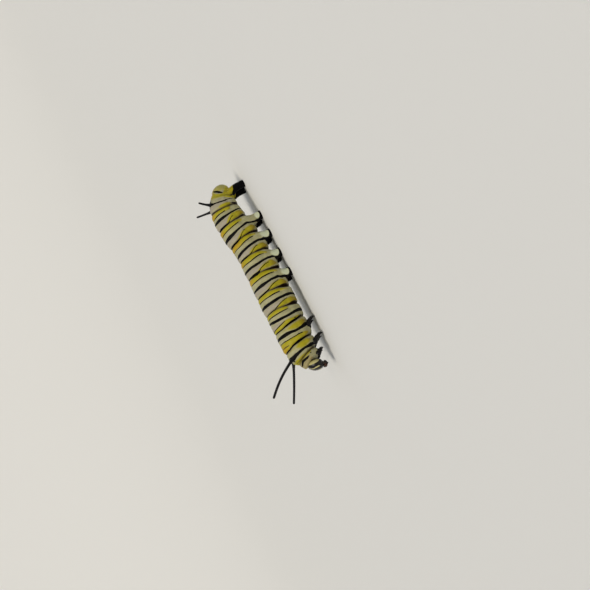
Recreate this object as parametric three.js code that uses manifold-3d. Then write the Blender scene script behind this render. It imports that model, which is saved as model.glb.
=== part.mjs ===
// A monarch larva in its last stage, life size, as a still model. Lengths are in millimetres.
// It stands on its prolegs and hind thoracic legs: head towards -X, left side towards -Y, floor at z = 0.
import * as THREE from "three";
import { mergeVertices } from "three/addons/utils/BufferGeometryUtils.js";
import Module from "manifold-3d";

const wasm = await Module();
wasm.setup();

// Driving dimensions of the trunk. Each segment has its length, the height of its axis over the floor
// and its depth from back to belly, both at its middle, and the share of its length where folds cross it.
const NECK_X = -17.1;
const MAIN_FOLDS = [0.34, 0.52, 0.765];
const SEGMENTS = [
  { name: "prothorax", length: 1.5, axis: 4.25, depth: 4.3, folds: [0.5] },
  { name: "mesothorax", length: 2.4, axis: 4.75, depth: 6.1, folds: [0.3, 0.62] },
  { name: "metathorax", length: 3.65, axis: 4.7, depth: 6.65, folds: [0.26, 0.46, 0.74] },
  { name: "abdomen_1", length: 3.65, axis: 4.55, depth: 6.8, folds: MAIN_FOLDS },
  { name: "abdomen_2", length: 3.75, axis: 4.5, depth: 6.95, folds: MAIN_FOLDS },
  { name: "abdomen_3", length: 4.05, axis: 4.4, depth: 6.9, folds: MAIN_FOLDS },
  { name: "abdomen_4", length: 3.75, axis: 4.4, depth: 6.7, folds: MAIN_FOLDS },
  { name: "abdomen_5", length: 3.75, axis: 4.5, depth: 6.5, folds: MAIN_FOLDS },
  { name: "abdomen_6", length: 3.55, axis: 5.0, depth: 6.7, folds: MAIN_FOLDS },
  { name: "abdomen_7", length: 3.55, axis: 5.5, depth: 6.15, folds: MAIN_FOLDS },
  { name: "abdomen_8", length: 2.05, axis: 5.3, depth: 5.4, folds: [0.55] },
  { name: "abdomen_9", length: 0.9, axis: 4.8, depth: 4.4, folds: [] },
  { name: "anal_segment", length: 1.95, axis: 4.15, depth: 3.6, folds: [] },
];
const NECK = { axis: 3.95, depth: 3.7 };
const TAIL = { axis: 3.6, depth: 2.9 };
// The tail end swings to the right: from a place on the trunk, over a length, by an angle in degrees.
const TAIL_SWING = { from: 13, over: 4.6, angle: 9 };
const WIDTH_TO_DEPTH = 0.98;
const GAP = 0.3; // between two pieces that touch on the animal
const SLIVER = 0.012; // faces narrower than this are merged into their neighbours
const FOLD_DEPTH = 0.16; // how far a fold sinks between two bulges
const CREASE_DEPTH = 0.3; // how far the skin sinks towards the next segment
const RING_SIDES = 24;
const STEPS_PER_BULGE = 3;

// Prolegs: fleshy stumps on the third to sixth abdominal segments, and a stouter pair at the tail.
// share is where along the segment the root lies, out its distance from the middle plane, and lean how far
// the foot lies behind the root. The hinder ones stand further back on their segments.
const PROLEG_PLACES = [
  { of: 3, share: 0.5, lean: 0 },
  { of: 4, share: 0.53, lean: 0.2 },
  { of: 5, share: 0.6, lean: 0.3 },
  { of: 6, share: 0.66, lean: 0.45 },
];
const PROLEGS = PROLEG_PLACES.map(({ of, share, lean }) => ({
  segment: `abdomen_${of}`,
  name: `proleg_${of}`,
  share,
  lean,
  rootSink: 0.2,
  rootOut: 1.75,
  footOut: 1.55,
  radii: [1.02, 1.0, 0.9, 0.84, 0.82, 0.66],
}));
const ANAL_PROLEG = {
  segment: "anal_segment",
  name: "anal_proleg",
  share: -0.1,
  lean: 0.05,
  rootSink: 0.12,
  rootOut: 1.1,
  footOut: 1.3,
  radii: [0.85, 0.92, 0.9, 0.8, 0.77, 0.6],
};
const PROLEG_SIDES = 14;
const ANKLE_Z = 0.45;
const SOLE_Z = 0.1; // the sole's edge is rounded up to here

// Thoracic legs: short, hard and jointed. reach is how far the claw lies behind the root, and foot its height.
const LEGS = [
  { pair: 1, segment: "prothorax", share: 0.5, rootOut: 1.15, reach: 0.8, foot: 1.2, spread: 0.35 },
  { pair: 2, segment: "mesothorax", share: 0.54, rootOut: 1.5, reach: 1.3, foot: 0, spread: 0.55 },
  { pair: 3, segment: "metathorax", share: 0.62, rootOut: 1.6, reach: 1.3, foot: 0, spread: 0.5 },
];
const LEG_RADII = [0.56, 0.52, 0.42, 0.44, 0.34, 0.35, 0.25, 0.18];
const LEG_SIDES = 10;

// Filaments: soft black feelers on the second thoracic and the eighth abdominal segments.
// Each has the place of its root on the ring, in degrees from the back, and the run from root to tip.
const FILAMENT_ROOTS = {
  front: { segment: "mesothorax", share: 0.42, around: 24 },
  rear: { segment: "abdomen_8", share: 0.48, around: 31 },
};
const FILAMENTS = [
  { at: "front", side: 1, run: [-6.0, -5.4, 7.25], sag: -0.45, radius: 0.26 },
  { at: "front", side: -1, run: [-6.6, 5.6, 3.0], sag: 0.1, radius: 0.26 },
  { at: "rear", side: 1, run: [1.15, -1.8, 2.6], sag: -0.1, radius: 0.25 },
  { at: "rear", side: -1, run: [0.8, 1.7, 3.5], sag: -0.1, radius: 0.25 },
];
const FILAMENT_STEPS = 14;
const FILAMENT_SIDES = 10;
const FILAMENT_FLARE = 0.2; // how much wider its root is
const FLARE_LENGTH = 1.1;

// Head: a hard capsule of two lobes that hangs before the neck, with the mouth below.
const HEAD = { x: -17.75, z: 3.6, halfDepth: 1.05, halfWidth: 1.7, halfHeight: 1.72, lean: 16 };
const HEAD_TURNS = 28;
const HEAD_RISES = 16;
const SUTURE_DEPTH = 0.13;
const SUTURE_WIDTH = 0.22;
const EYE_RADIUS = 0.13;
const EYES_PER_SIDE = 6;
const JAW = { x: -18.55, out: 0.5, z: 2.05 };
const UPPER_LIP = { x: -18.65, z: 2.25 };
const LOWER_LIP = { x: -18.1, z: 2.0 };
const ANTENNA = { out: 0.95, x: -18.0, z: 2.75, forward: 0.55, drop: 1.0, rootRadius: 0.27, tipRadius: 0.12 };

const COLOURS = {
  skin: { color: 0xc9bd6a, roughness: 0.55, metalness: 0 },
  proleg: { color: 0x3a3830, roughness: 0.5, metalness: 0 },
  filament: { color: 0x14141a, roughness: 0.5, metalness: 0 },
  leg: { color: 0x17161a, roughness: 0.3, metalness: 0 },
  head: { color: 0x222024, roughness: 0.25, metalness: 0 },
};

const radians = THREE.MathUtils.degToRad;
const vec = (x, y, z) => new THREE.Vector3(x, y, z);

// Where each segment starts, and the stations that the trunk's axis and depth pass through.
let startX = NECK_X;
for (const segment of SEGMENTS) {
  segment.from = startX;
  segment.to = startX + segment.length;
  startX = segment.to;
}
const TAIL_X = startX;
const STATIONS = [
  { x: NECK_X, ...NECK },
  ...SEGMENTS.map((s) => ({ x: (s.from + s.to) / 2, axis: s.axis, depth: s.depth })),
  { x: TAIL_X, ...TAIL },
];
const segmentNamed = (name) => SEGMENTS.find((s) => s.name === name);

// A smooth curve through the stations, with its slope: a cubic between each two of them.
function through(x, key) {
  const last = STATIONS.length - 1;
  let i = 0;
  while (i < last - 1 && x > STATIONS[i + 1].x) i += 1;
  const slopeAt = (k) => {
    const a = STATIONS[Math.max(k - 1, 0)];
    const b = STATIONS[Math.min(k + 1, last)];
    return (b[key] - a[key]) / (b.x - a.x);
  };
  const [p, q] = [STATIONS[i], STATIONS[i + 1]];
  const span = q.x - p.x;
  const t = (x - p.x) / span;
  const [mp, mq] = [slopeAt(i) * span, slopeAt(i + 1) * span];
  const rise = q[key] - p[key];
  const value = p[key] + t * mp + t * t * (3 * rise - 2 * mp - mq) + t * t * t * (mp + mq - 2 * rise);
  const slope = (mp + 2 * t * (3 * rise - 2 * mp - mq) + 3 * t * t * (mp + mq - 2 * rise)) / span;
  return { value, slope };
}

// The place of a point beside the trunk's axis at x. ahead, y and height are its offsets along and across the
// axis and its height over the floor, on a straight trunk. Behind the start of the swing the axis bends.
const SWING_STEPS = 24;
function swing(x, { x: ahead, y, z: height }) {
  const { from, over, angle } = TAIL_SWING;
  const turnAt = (place) => radians(angle) * THREE.MathUtils.smoothstep(place, from, from + over);
  const step = Math.max(x - from, 0) / SWING_STEPS;
  const centre = vec(Math.min(x, from), 0, height);
  for (let k = 0; k < SWING_STEPS; k += 1) {
    const turn = turnAt(from + step * (k + 0.5));
    centre.add(vec(step * Math.cos(turn), step * Math.sin(turn), 0));
  }
  return centre.add(vec(ahead, y, 0).applyAxisAngle(vec(0, 0, 1), turnAt(x)));
}

// A point on the trunk's smooth skin. around is in degrees from the back, positive to the left side.
function onTrunk(x, around, grow = 0) {
  const axis = through(x, "axis");
  const depth = through(x, "depth").value;
  const up = vec(-axis.slope, 0, 1).normalize();
  const high = (depth / 2 + grow) * Math.cos(radians(around));
  const wide = ((depth * WIDTH_TO_DEPTH) / 2 + grow) * Math.sin(radians(around));
  return swing(x, vec(0, -wide, axis.value).addScaledVector(up, high));
}

// How far the skin sinks at a share of a segment's length: most at its ends, less at its folds.
function sink(segment, share) {
  const edges = [0, ...segment.folds, 1];
  let i = 0;
  while (i < edges.length - 2 && share > edges[i + 1]) i += 1;
  const within = (share - edges[i]) / (edges[i + 1] - edges[i]);
  const before = i === 0 ? CREASE_DEPTH : FOLD_DEPTH;
  const after = i === edges.length - 2 ? CREASE_DEPTH : FOLD_DEPTH;
  const edgeSink = within < 0.5 ? before : after;
  return edgeSink * (1 - Math.sin(Math.PI * within));
}

// A closed body through rings of points, all with the same count, with its ends filled from their middles.
function loft(rings) {
  const count = rings[0].length;
  const middle = (ring) => ring.reduce((sum, p) => sum.add(p), vec(0, 0, 0)).divideScalar(count);
  const points = [...rings.flat(), middle(rings[0]), middle(rings.at(-1))];
  const faces = [];
  for (let r = 0; r < rings.length - 1; r += 1) {
    for (let k = 0; k < count; k += 1) {
      const next = (k + 1) % count;
      const [a, b] = [r * count + k, r * count + next];
      const [c, d] = [a + count, b + count];
      faces.push(a, b, c, b, d, c);
    }
  }
  const lastRing = (rings.length - 1) * count;
  for (let k = 0; k < count; k += 1) {
    const next = (k + 1) % count;
    faces.push(points.length - 2, next, k);
    faces.push(points.length - 1, lastRing + k, lastRing + next);
  }
  return facingOut(points, faces);
}

// A manifold solid from points and faces, turned so that its faces point out.
function facingOut(points, faces) {
  let volume = 0;
  for (let i = 0; i < faces.length; i += 3) {
    const [a, b, c] = [points[faces[i]], points[faces[i + 1]], points[faces[i + 2]]];
    volume += a.dot(b.clone().cross(c));
  }
  if (volume < 0) faces.reverse();
  const geometry = new THREE.BufferGeometry().setFromPoints(points);
  geometry.setIndex(faces);
  return solidFrom(geometry);
}

function solidFrom(geometry) {
  const bare = geometry.clone();
  bare.deleteAttribute("normal");
  bare.deleteAttribute("uv");
  const merged = mergeVertices(bare, 1e-4);
  const vertProperties = new Float32Array(merged.attributes.position.array);
  const triVerts = new Uint32Array(merged.index.array);
  return new wasm.Manifold(new wasm.Mesh({ numProp: 3, vertProperties, triVerts }));
}

// Rings of the trunk between two places, each at a right angle to its axis.
function trunkRings(xs, growAt) {
  return xs.map((x) =>
    Array.from({ length: RING_SIDES }, (_, k) => onTrunk(x, (360 * k) / RING_SIDES, growAt(x))),
  );
}

// One segment of the trunk: bulges between its folds, and a gap to the next segment at each end.
function segmentSolid(segment) {
  const edges = [0, ...segment.folds, 1];
  const shares = [];
  for (let i = 0; i < edges.length - 1; i += 1) {
    for (let k = 0; k < STEPS_PER_BULGE; k += 1) {
      shares.push(edges[i] + ((edges[i + 1] - edges[i]) * k) / STEPS_PER_BULGE);
    }
  }
  shares.push(1);
  const from = segment.from + GAP / 2;
  const to = segment.to - GAP / 2;
  const shareAt = (x) => (x - from) / (to - from);
  const xs = shares.map((share) => from + (to - from) * share);
  return loft(trunkRings(xs, (x) => -sink(segment, shareAt(x))));
}

// The last segment closes in a round end under the anal plate.
function analSolid(segment) {
  const from = segment.from + GAP / 2;
  const steps = 7;
  const rings = [];
  for (let k = 0; k < steps; k += 1) {
    const share = Math.sin((Math.PI / 2) * (k / (steps - 0.4)));
    const x = from + (segment.to - from) * share;
    const shrink = Math.sqrt(1 - share * share);
    const centre = swing(x, vec(0, 0, through(x, "axis").value));
    rings.push(trunkRings([x], () => 0)[0].map((p) => centre.clone().lerp(p, shrink)));
  }
  return loft(rings);
}

// The smooth trunk along the named segments, grown by the gap, to cut what grows from it.
function clearance(...names) {
  const segments = names.map(segmentNamed);
  const from = segments[0].from;
  const to = segments.at(-1).to;
  const steps = Math.ceil((to - from) / 0.9);
  const xs = Array.from({ length: steps + 1 }, (_, k) => from + ((to - from) * k) / steps);
  return loft(trunkRings(xs, () => GAP));
}

// A ring of points round a centre, in the plane of two half axes.
function ringRound(centre, acrossA, acrossB, sides) {
  return Array.from({ length: sides }, (_, k) => {
    const turn = (2 * Math.PI * k) / sides;
    return centre.clone().addScaledVector(acrossA, Math.cos(turn)).addScaledVector(acrossB, Math.sin(turn));
  });
}

// Only the largest closed body is kept after a cut, without the slivers that the cut leaves in its faces.
function largest(solid) {
  const whole = solid.asOriginal().simplify(SLIVER);
  return whole.decompose().reduce((best, s) => (s.volume() > best.volume() ? s : best));
}

// A fleshy stump from inside the trunk down to its flat sole on the floor.
function prolegSolid(leg, side) {
  const segment = segmentNamed(leg.segment);
  const rootX = segment.from + segment.length * leg.share;
  const rootZ = through(rootX, "axis").value - through(rootX, "depth").value * leg.rootSink;
  const heights = [rootZ, rootZ * 0.62, rootZ * 0.36, ANKLE_Z, SOLE_Z, 0];
  const rings = heights.map((z, k) => {
    const up = z / rootZ;
    const radius = leg.radii[k];
    const out = THREE.MathUtils.lerp(leg.footOut, leg.rootOut, up);
    const centre = swing(rootX, vec(leg.lean * (1 - up), -side * out, z));
    return ringRound(centre, vec(radius, 0, 0), vec(0, radius * 0.92, 0), PROLEG_SIDES);
  });
  return largest(loft(rings).subtract(clearance(...neighbours(leg.segment))));
}

// A segment with the ones before and behind it.
function neighbours(name) {
  const index = SEGMENTS.findIndex((s) => s.name === name);
  return SEGMENTS.slice(index - 1, index + 2).map((s) => s.name);
}

// A jointed leg: coxa, femur, tibia and tarsus along a bent line, ending in a blunt claw.
function legSolid(leg, side) {
  const segment = segmentNamed(leg.segment);
  const rootX = segment.from + segment.length * leg.share;
  const rootZ = through(rootX, "axis").value - through(rootX, "depth").value * 0.36;
  const drop = rootZ - leg.foot;
  const steps = LEG_RADII.length - 1;
  const rings = LEG_RADII.map((radius, k) => {
    const t = k / steps;
    const outward = leg.rootOut + leg.spread * Math.sin(Math.PI * Math.min(1, t * 1.15));
    const x = rootX + leg.reach * Math.sin((Math.PI / 2) * t);
    const centre = vec(x, -side * outward, rootZ - drop * t);
    return ringRound(centre, vec(radius, 0, 0), vec(0, radius, 0), LEG_SIDES);
  });
  return largest(loft(rings).subtract(clearance(leg.segment)));
}

// A tapering feeler along a gently bent line. It starts inside the trunk, which is then cut away.
function filamentSolid({ at: end, side, run, sag, radius }) {
  const root = FILAMENT_ROOTS[end];
  const segment = segmentNamed(root.segment);
  const x = segment.from + segment.length * root.share;
  const start = onTrunk(x, side * root.around, -0.6);
  const span = vec(...run);
  const bend = vec(0, 0, -1).projectOnPlane(span.clone().normalize()).normalize();
  const at = (t) => start.clone().addScaledVector(span, t).addScaledVector(bend, sag * Math.sin(Math.PI * t));
  const rings = [];
  for (let k = 0; k <= FILAMENT_STEPS; k += 1) {
    const t = k / FILAMENT_STEPS;
    const ahead = at(t + 0.01).sub(at(t - 0.01)).normalize();
    const acrossA = vec(0, 1, 0).projectOnPlane(ahead).normalize();
    const acrossB = ahead.clone().cross(acrossA);
    const along = (t * span.length()) / FLARE_LENGTH;
    const flare = FILAMENT_FLARE * Math.exp(-along * along);
    const tip = Math.sqrt(Math.max(1 - Math.max((t - 0.93) / 0.075, 0) ** 2, 0.12));
    const r = (radius * (1 - 0.12 * t) + flare) * tip;
    rings.push(ringRound(at(t), acrossA.multiplyScalar(r), acrossB.multiplyScalar(r), FILAMENT_SIDES));
  }
  return largest(loft(rings).subtract(clearance(root.segment)));
}

// A point on the head capsule: turn goes round it from the face to the left, rise from its middle to its top.
function onHead(turn, rise, grow = 0) {
  const across = Math.cos(rise) * Math.sin(turn);
  const forward = Math.cos(rise) * Math.cos(turn);
  const up = Math.sin(rise);
  const side = across * HEAD.halfWidth;
  const onSuture = Math.exp(-((side / SUTURE_WIDTH) ** 2)) * THREE.MathUtils.smoothstep(up, -0.1, 0.5);
  const jaw = 1 - 0.2 * THREE.MathUtils.smoothstep(-up, 0.2, 1);
  const scale = 1 - (SUTURE_DEPTH / HEAD.halfHeight) * onSuture;
  const point = vec(
    -forward * HEAD.halfDepth * jaw * scale - grow * forward,
    -side * jaw * scale - grow * across,
    up * HEAD.halfHeight * scale + grow * up,
  );
  return point.applyAxisAngle(vec(0, 1, 0), radians(HEAD.lean)).add(vec(HEAD.x, 0, HEAD.z));
}

function headCapsule() {
  const rings = [];
  for (let r = 1; r < HEAD_RISES; r += 1) {
    const rise = -Math.PI / 2 + (Math.PI * r) / HEAD_RISES;
    rings.push(Array.from({ length: HEAD_TURNS }, (_, k) => onHead((2 * Math.PI * k) / HEAD_TURNS, rise)));
  }
  return loft(rings);
}

// A small round form at a place on the head, such as an eye or a jaw.
function bead(place, sizes, wide, high) {
  const geometry = new THREE.SphereGeometry(1, wide, high);
  geometry.scale(...sizes);
  geometry.translate(...place.toArray());
  return solidFrom(geometry);
}

// The capsule with the upper lip, the jaws, the lower lip and the single eyes, joined into one body.
function headSolid() {
  const pieces = [headCapsule()];
  pieces.push(bead(vec(UPPER_LIP.x, 0, UPPER_LIP.z), [0.34, 0.62, 0.34], 10, 6));
  pieces.push(bead(vec(LOWER_LIP.x, 0, LOWER_LIP.z), [0.5, 0.6, 0.36], 10, 6));
  for (const side of [1, -1]) {
    pieces.push(bead(vec(JAW.x, -side * JAW.out, JAW.z), [0.34, 0.42, 0.36], 10, 6));
    for (let k = 0; k < EYES_PER_SIDE; k += 1) {
      const isLast = k === EYES_PER_SIDE - 1; // one eye stands apart, inside the arc of the others
      const along = (k * Math.PI) / 3.4;
      const turn = radians(52 + 13 * Math.cos(along) - (isLast ? 14 : 0));
      const rise = radians(-26 + 13 * Math.sin(along) - (isLast ? 4 : 0));
      pieces.push(bead(onHead(side * turn, rise), [EYE_RADIUS, EYE_RADIUS, EYE_RADIUS], 6, 4));
    }
  }
  return largest(wasm.Manifold.union(pieces).subtract(clearance("prothorax")));
}

// A short feeler beside the jaw, set off from the head by the gap.
function antennaSolid(side) {
  const from = vec(ANTENNA.x, -side * (ANTENNA.out - 0.1), ANTENNA.z);
  const to = vec(ANTENNA.x - ANTENNA.forward, -side * (ANTENNA.out + 0.15), ANTENNA.z - ANTENNA.drop);
  const ahead = to.clone().sub(from).normalize();
  const acrossA = vec(0, 1, 0).projectOnPlane(ahead).normalize();
  const acrossB = ahead.clone().cross(acrossA);
  const rings = [0, 0.5, 0.75, 1].map((t) => {
    const r = THREE.MathUtils.lerp(ANTENNA.rootRadius, ANTENNA.tipRadius, Math.max(0, t - 0.4) / 0.6);
    const centre = from.clone().lerp(to, t);
    return ringRound(centre, acrossA.clone().multiplyScalar(r), acrossB.clone().multiplyScalar(r), 8);
  });
  return largest(loft(rings).subtract(headClearance));
}

function headClearanceSolid() {
  const rings = [];
  for (let r = 1; r < HEAD_RISES; r += 1) {
    const rise = -Math.PI / 2 + (Math.PI * r) / HEAD_RISES;
    const turnAt = (k) => (2 * Math.PI * k) / HEAD_TURNS;
    rings.push(Array.from({ length: HEAD_TURNS }, (_, k) => onHead(turnAt(k), rise, GAP)));
  }
  const jaws = [1, -1].map((side) => bead(vec(JAW.x, -side * JAW.out, JAW.z), [0.64, 0.72, 0.66], 10, 6));
  return wasm.Manifold.union([loft(rings), ...jaws]);
}
const headClearance = headClearanceSolid();

// Back to a three.js mesh, flat shaded, with its own material.
function meshOf(name, solid, look) {
  const { vertProperties, triVerts } = solid.getMesh();
  const geometry = new THREE.BufferGeometry();
  geometry.setAttribute("position", new THREE.BufferAttribute(new Float32Array(vertProperties), 3));
  geometry.setIndex(new THREE.BufferAttribute(new Uint32Array(triVerts), 1));
  geometry.computeVertexNormals();
  const mesh = new THREE.Mesh(geometry, new THREE.MeshStandardMaterial({ ...look, flatShading: true }));
  mesh.name = name;
  return mesh;
}

const SIDES = [
  ["left", 1],
  ["right", -1],
];
const larva = new THREE.Group();
larva.name = "monarch_larva";

for (const segment of SEGMENTS) {
  const isLast = segment.name === "anal_segment";
  larva.add(meshOf(segment.name, isLast ? analSolid(segment) : segmentSolid(segment), COLOURS.skin));
}
larva.add(meshOf("head", headSolid(), COLOURS.head));
for (const [word, side] of SIDES) {
  larva.add(meshOf(`antenna_${word}`, antennaSolid(side), COLOURS.leg));
  for (const leg of LEGS) larva.add(meshOf(`leg_${leg.pair}_${word}`, legSolid(leg, side), COLOURS.leg));
  for (const leg of [...PROLEGS, ANAL_PROLEG]) {
    larva.add(meshOf(`${leg.name}_${word}`, prolegSolid(leg, side), COLOURS.proleg));
  }
}
for (const filament of FILAMENTS) {
  const word = filament.side === 1 ? "left" : "right";
  larva.add(meshOf(`${filament.at}_filament_${word}`, filamentSolid(filament), COLOURS.filament));
}

export default larva;
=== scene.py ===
# %% [markdown]
# A full-grown monarch larva, life size: a soft striped trunk of thirteen segments, a hard head, six
# jointed legs, ten fleshy prolegs and two pairs of soft black feelers called filaments. The construction
# model gives the place and size of each of them. Here they get their skin, markings and finish.
# %% The frame from the construction model
import math

import bpy
import numpy as np
from mathutils import Matrix, Vector


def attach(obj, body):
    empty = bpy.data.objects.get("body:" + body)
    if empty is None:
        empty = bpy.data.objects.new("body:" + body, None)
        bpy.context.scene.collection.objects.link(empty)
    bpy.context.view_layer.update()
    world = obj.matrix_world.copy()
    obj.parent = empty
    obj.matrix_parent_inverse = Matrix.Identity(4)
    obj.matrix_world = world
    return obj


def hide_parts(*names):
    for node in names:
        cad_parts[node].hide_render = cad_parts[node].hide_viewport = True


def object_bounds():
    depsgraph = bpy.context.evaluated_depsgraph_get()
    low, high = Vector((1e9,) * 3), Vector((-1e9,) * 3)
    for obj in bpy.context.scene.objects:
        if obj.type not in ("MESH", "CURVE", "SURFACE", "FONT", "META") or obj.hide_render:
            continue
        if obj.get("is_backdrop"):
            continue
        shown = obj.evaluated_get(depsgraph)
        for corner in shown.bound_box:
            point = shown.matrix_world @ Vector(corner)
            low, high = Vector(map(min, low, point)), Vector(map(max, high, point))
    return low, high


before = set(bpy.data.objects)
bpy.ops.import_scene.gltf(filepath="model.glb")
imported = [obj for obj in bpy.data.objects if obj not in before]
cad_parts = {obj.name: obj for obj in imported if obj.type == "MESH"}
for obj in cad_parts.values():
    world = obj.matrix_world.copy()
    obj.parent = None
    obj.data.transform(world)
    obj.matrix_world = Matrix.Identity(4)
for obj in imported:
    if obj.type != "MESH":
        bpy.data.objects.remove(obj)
cad_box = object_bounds()
print("the frame holds", len(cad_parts), "nodes")

# %% [markdown]
# The camera comes first. The larva is seen from its left side, a little from ahead and a little from
# above. The photograph has it head down, so the camera is also rolled. It could be aimed with a
# constraint, but three unit vectors say the same in a few lines: one back to the camera, one to the right
# and one up.
# %% Camera
MM = 0.001
PICTURE_PX = 590
AZIMUTH, ELEVATION, ROLL = (math.radians(a) for a in (-13.7, 8.0, 115.5))
DISTANCE, VIEW_ANGLE = 240 * MM, math.radians(25.72)
BODY_MIDDLE, BODY_MIDDLE_PX = Vector((-0.4, 0, 4.5)) * MM, (269.7, 284.7)


def put_in_scene(name, data):
    """A new object that shows this mesh, lamp or camera."""
    made = bpy.data.objects.new(name, data)
    bpy.context.scene.collection.objects.link(made)
    return made


level = Vector((math.cos(AZIMUTH), math.sin(AZIMUTH), 0))
forward = Vector((-math.sin(AZIMUTH), math.cos(AZIMUTH), 0))
back = Vector((0, 0, math.sin(ELEVATION))) - forward * math.cos(ELEVATION)
upright = back.cross(level)
picture_right = level * math.cos(ROLL) - upright * math.sin(ROLL)
picture_up = level * math.sin(ROLL) + upright * math.cos(ROLL)
size_of_px = 2 * DISTANCE * math.tan(VIEW_ANGLE / 2) / PICTURE_PX
off_right, off_down = (size_of_px * (PICTURE_PX / 2 - px) for px in BODY_MIDDLE_PX)
aim = BODY_MIDDLE + picture_right * off_right - picture_up * off_down
eye = BODY_MIDDLE + back * DISTANCE
towards_camera = (eye - aim).normalized()
across = picture_up.cross(towards_camera).normalized()
turn = Matrix((across, towards_camera.cross(across), towards_camera)).transposed()
camera_data = bpy.data.cameras.new("camera")
camera_data.angle, camera_data.clip_start = VIEW_ANGLE, 10 * MM
camera = put_in_scene("camera", camera_data)
camera.matrix_world = Matrix.Translation(eye) @ turn.to_4x4()
bpy.context.scene.camera = camera
print("camera height over the floor:", round(eye.z / MM), "mm")

# %% [markdown]
# The trunk's plan repeats the driving sizes of the construction model: each segment's length, and the
# height of its axis and its depth at its middle. A cubic through these stations gives a smooth axis, as a
# spline would, and it can be worked out for all points at once with numpy.
# %% Plan of the trunk, in millimetres
NECK_X, NECK_AXIS, NECK_DEPTH = -17.1, 3.95, 3.7
TAIL_AXIS, TAIL_DEPTH = 3.6, 2.9
WIDTH_TO_DEPTH = 0.98
PLAN = {
    "prothorax": (1.5, 4.25, 4.3),
    "mesothorax": (2.4, 4.75, 6.1),
    "metathorax": (3.65, 4.7, 6.65),
    "abdomen_1": (3.65, 4.55, 6.8),
    "abdomen_2": (3.75, 4.5, 6.95),
    "abdomen_3": (4.05, 4.4, 6.9),
    "abdomen_4": (3.75, 4.4, 6.7),
    "abdomen_5": (3.75, 4.5, 6.5),
    "abdomen_6": (3.55, 5.0, 6.7),
    "abdomen_7": (3.55, 5.5, 6.15),
    "abdomen_8": (2.05, 5.3, 5.4),
    "abdomen_9": (0.9, 4.8, 4.4),
    "anal_segment": (1.95, 4.15, 3.6),
}
NAMES = list(PLAN)
LENGTHS, axes, depths = np.array(list(PLAN.values())).T
STARTS = NECK_X + np.concatenate([[0], np.cumsum(LENGTHS)])
TAIL_X = STARTS[-1]
STATION_X = np.array([NECK_X, *(STARTS[:-1] + STARTS[1:]) / 2, TAIL_X])
STATION_AXIS = np.array([NECK_AXIS, *axes, TAIL_AXIS])
STATION_DEPTH = np.array([NECK_DEPTH, *depths, TAIL_DEPTH])


def place(segment, share):
    """The x of a share of a segment's length, in millimetres."""
    k = NAMES.index(segment)
    return STARTS[k] + share * LENGTHS[k]


def across_neighbours(values):
    """How much a row of values changes from the one before each of them to the one after."""
    return np.append(values[1:], values[-1]) - np.append(values[0], values[:-1])


def through_stations(x, heights):
    """A smooth curve through the stations at x, and its slope."""
    slopes = across_neighbours(heights) / across_neighbours(STATION_X)
    k = np.clip(np.searchsorted(STATION_X, x, side="right") - 1, 0, len(heights) - 2)
    span = STATION_X[k + 1] - STATION_X[k]
    t = (x - STATION_X[k]) / span
    rise = heights[k + 1] - heights[k]
    first, last = slopes[k] * span, slopes[k + 1] * span
    square, cube = 3 * rise - 2 * first - last, first + last - 2 * rise
    value = heights[k] + t * first + t**2 * square + t**3 * cube
    return value, (first + 2 * t * square + 3 * t**2 * cube) / span


def trunk_at(x):
    """At one place along the trunk: the height of its axis, half its depth, and the slope of the axis."""
    height, slope = through_stations(x, STATION_AXIS)
    return float(height), float(through_stations(x, STATION_DEPTH)[0]) / 2, float(slope)


print("trunk length along its axis:", round(float(TAIL_X - NECK_X), 2), "mm")

# %% [markdown]
# Three small helpers serve all that follows: a soft step, a soft bump, and directions of length 1.
# %% Helpers for soft forms
def smooth(low, high, value):
    """0 below low, 1 above high, and a soft step between them."""
    t = np.clip((value - low) / (high - low), 0, 1)
    return t * t * (3 - 2 * t)


def bell(offset, width):
    """1 where the offset is 0, falling softly to nearly 0 at twice the width."""
    return np.exp(-((offset / width) ** 2))


def unit(vectors):
    """The same directions with length 1."""
    return vectors / np.maximum(np.linalg.norm(vectors, axis=-1, keepdims=True), 1e-9)


# %% [markdown]
# The tail end swings a little to the larva's right, as it does in the photograph, where the two hind
# filaments show far apart. The trunk is planned straight, and one function then bends it: every place
# keeps its offsets from the axis while the axis follows an arc.
# %% The swing of the tail end
SWING_FROM, SWING_OVER, SWING_ANGLE = 13.0, 4.6, 9.0
swing_x = np.linspace(SWING_FROM, TAIL_X + 1, 400)
swing_turn = math.radians(SWING_ANGLE) * smooth(SWING_FROM, SWING_FROM + SWING_OVER, swing_x)
between = (swing_turn[1:] + swing_turn[:-1]) / 2
bent_x = SWING_FROM + np.concatenate([[0], np.cumsum(np.diff(swing_x) * np.cos(between))])
bent_y = np.concatenate([[0], np.cumsum(np.diff(swing_x) * np.sin(between))])


def swing(x, ahead, y, z):
    """The point beside the axis at x, with its offsets along and across the axis and its height."""
    turn = np.interp(x, swing_x, swing_turn)
    centre_x = np.where(x < SWING_FROM, x, np.interp(x, swing_x, bent_x))
    along = centre_x + ahead * np.cos(turn) - y * np.sin(turn)
    out = np.interp(x, swing_x, bent_y) + ahead * np.sin(turn) + y * np.cos(turn)
    return np.stack(np.broadcast_arrays(along, out, z), -1)


print("the tail end lies", round(float(np.interp(TAIL_X, swing_x, bent_y)), 2), "mm to the right")

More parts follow.
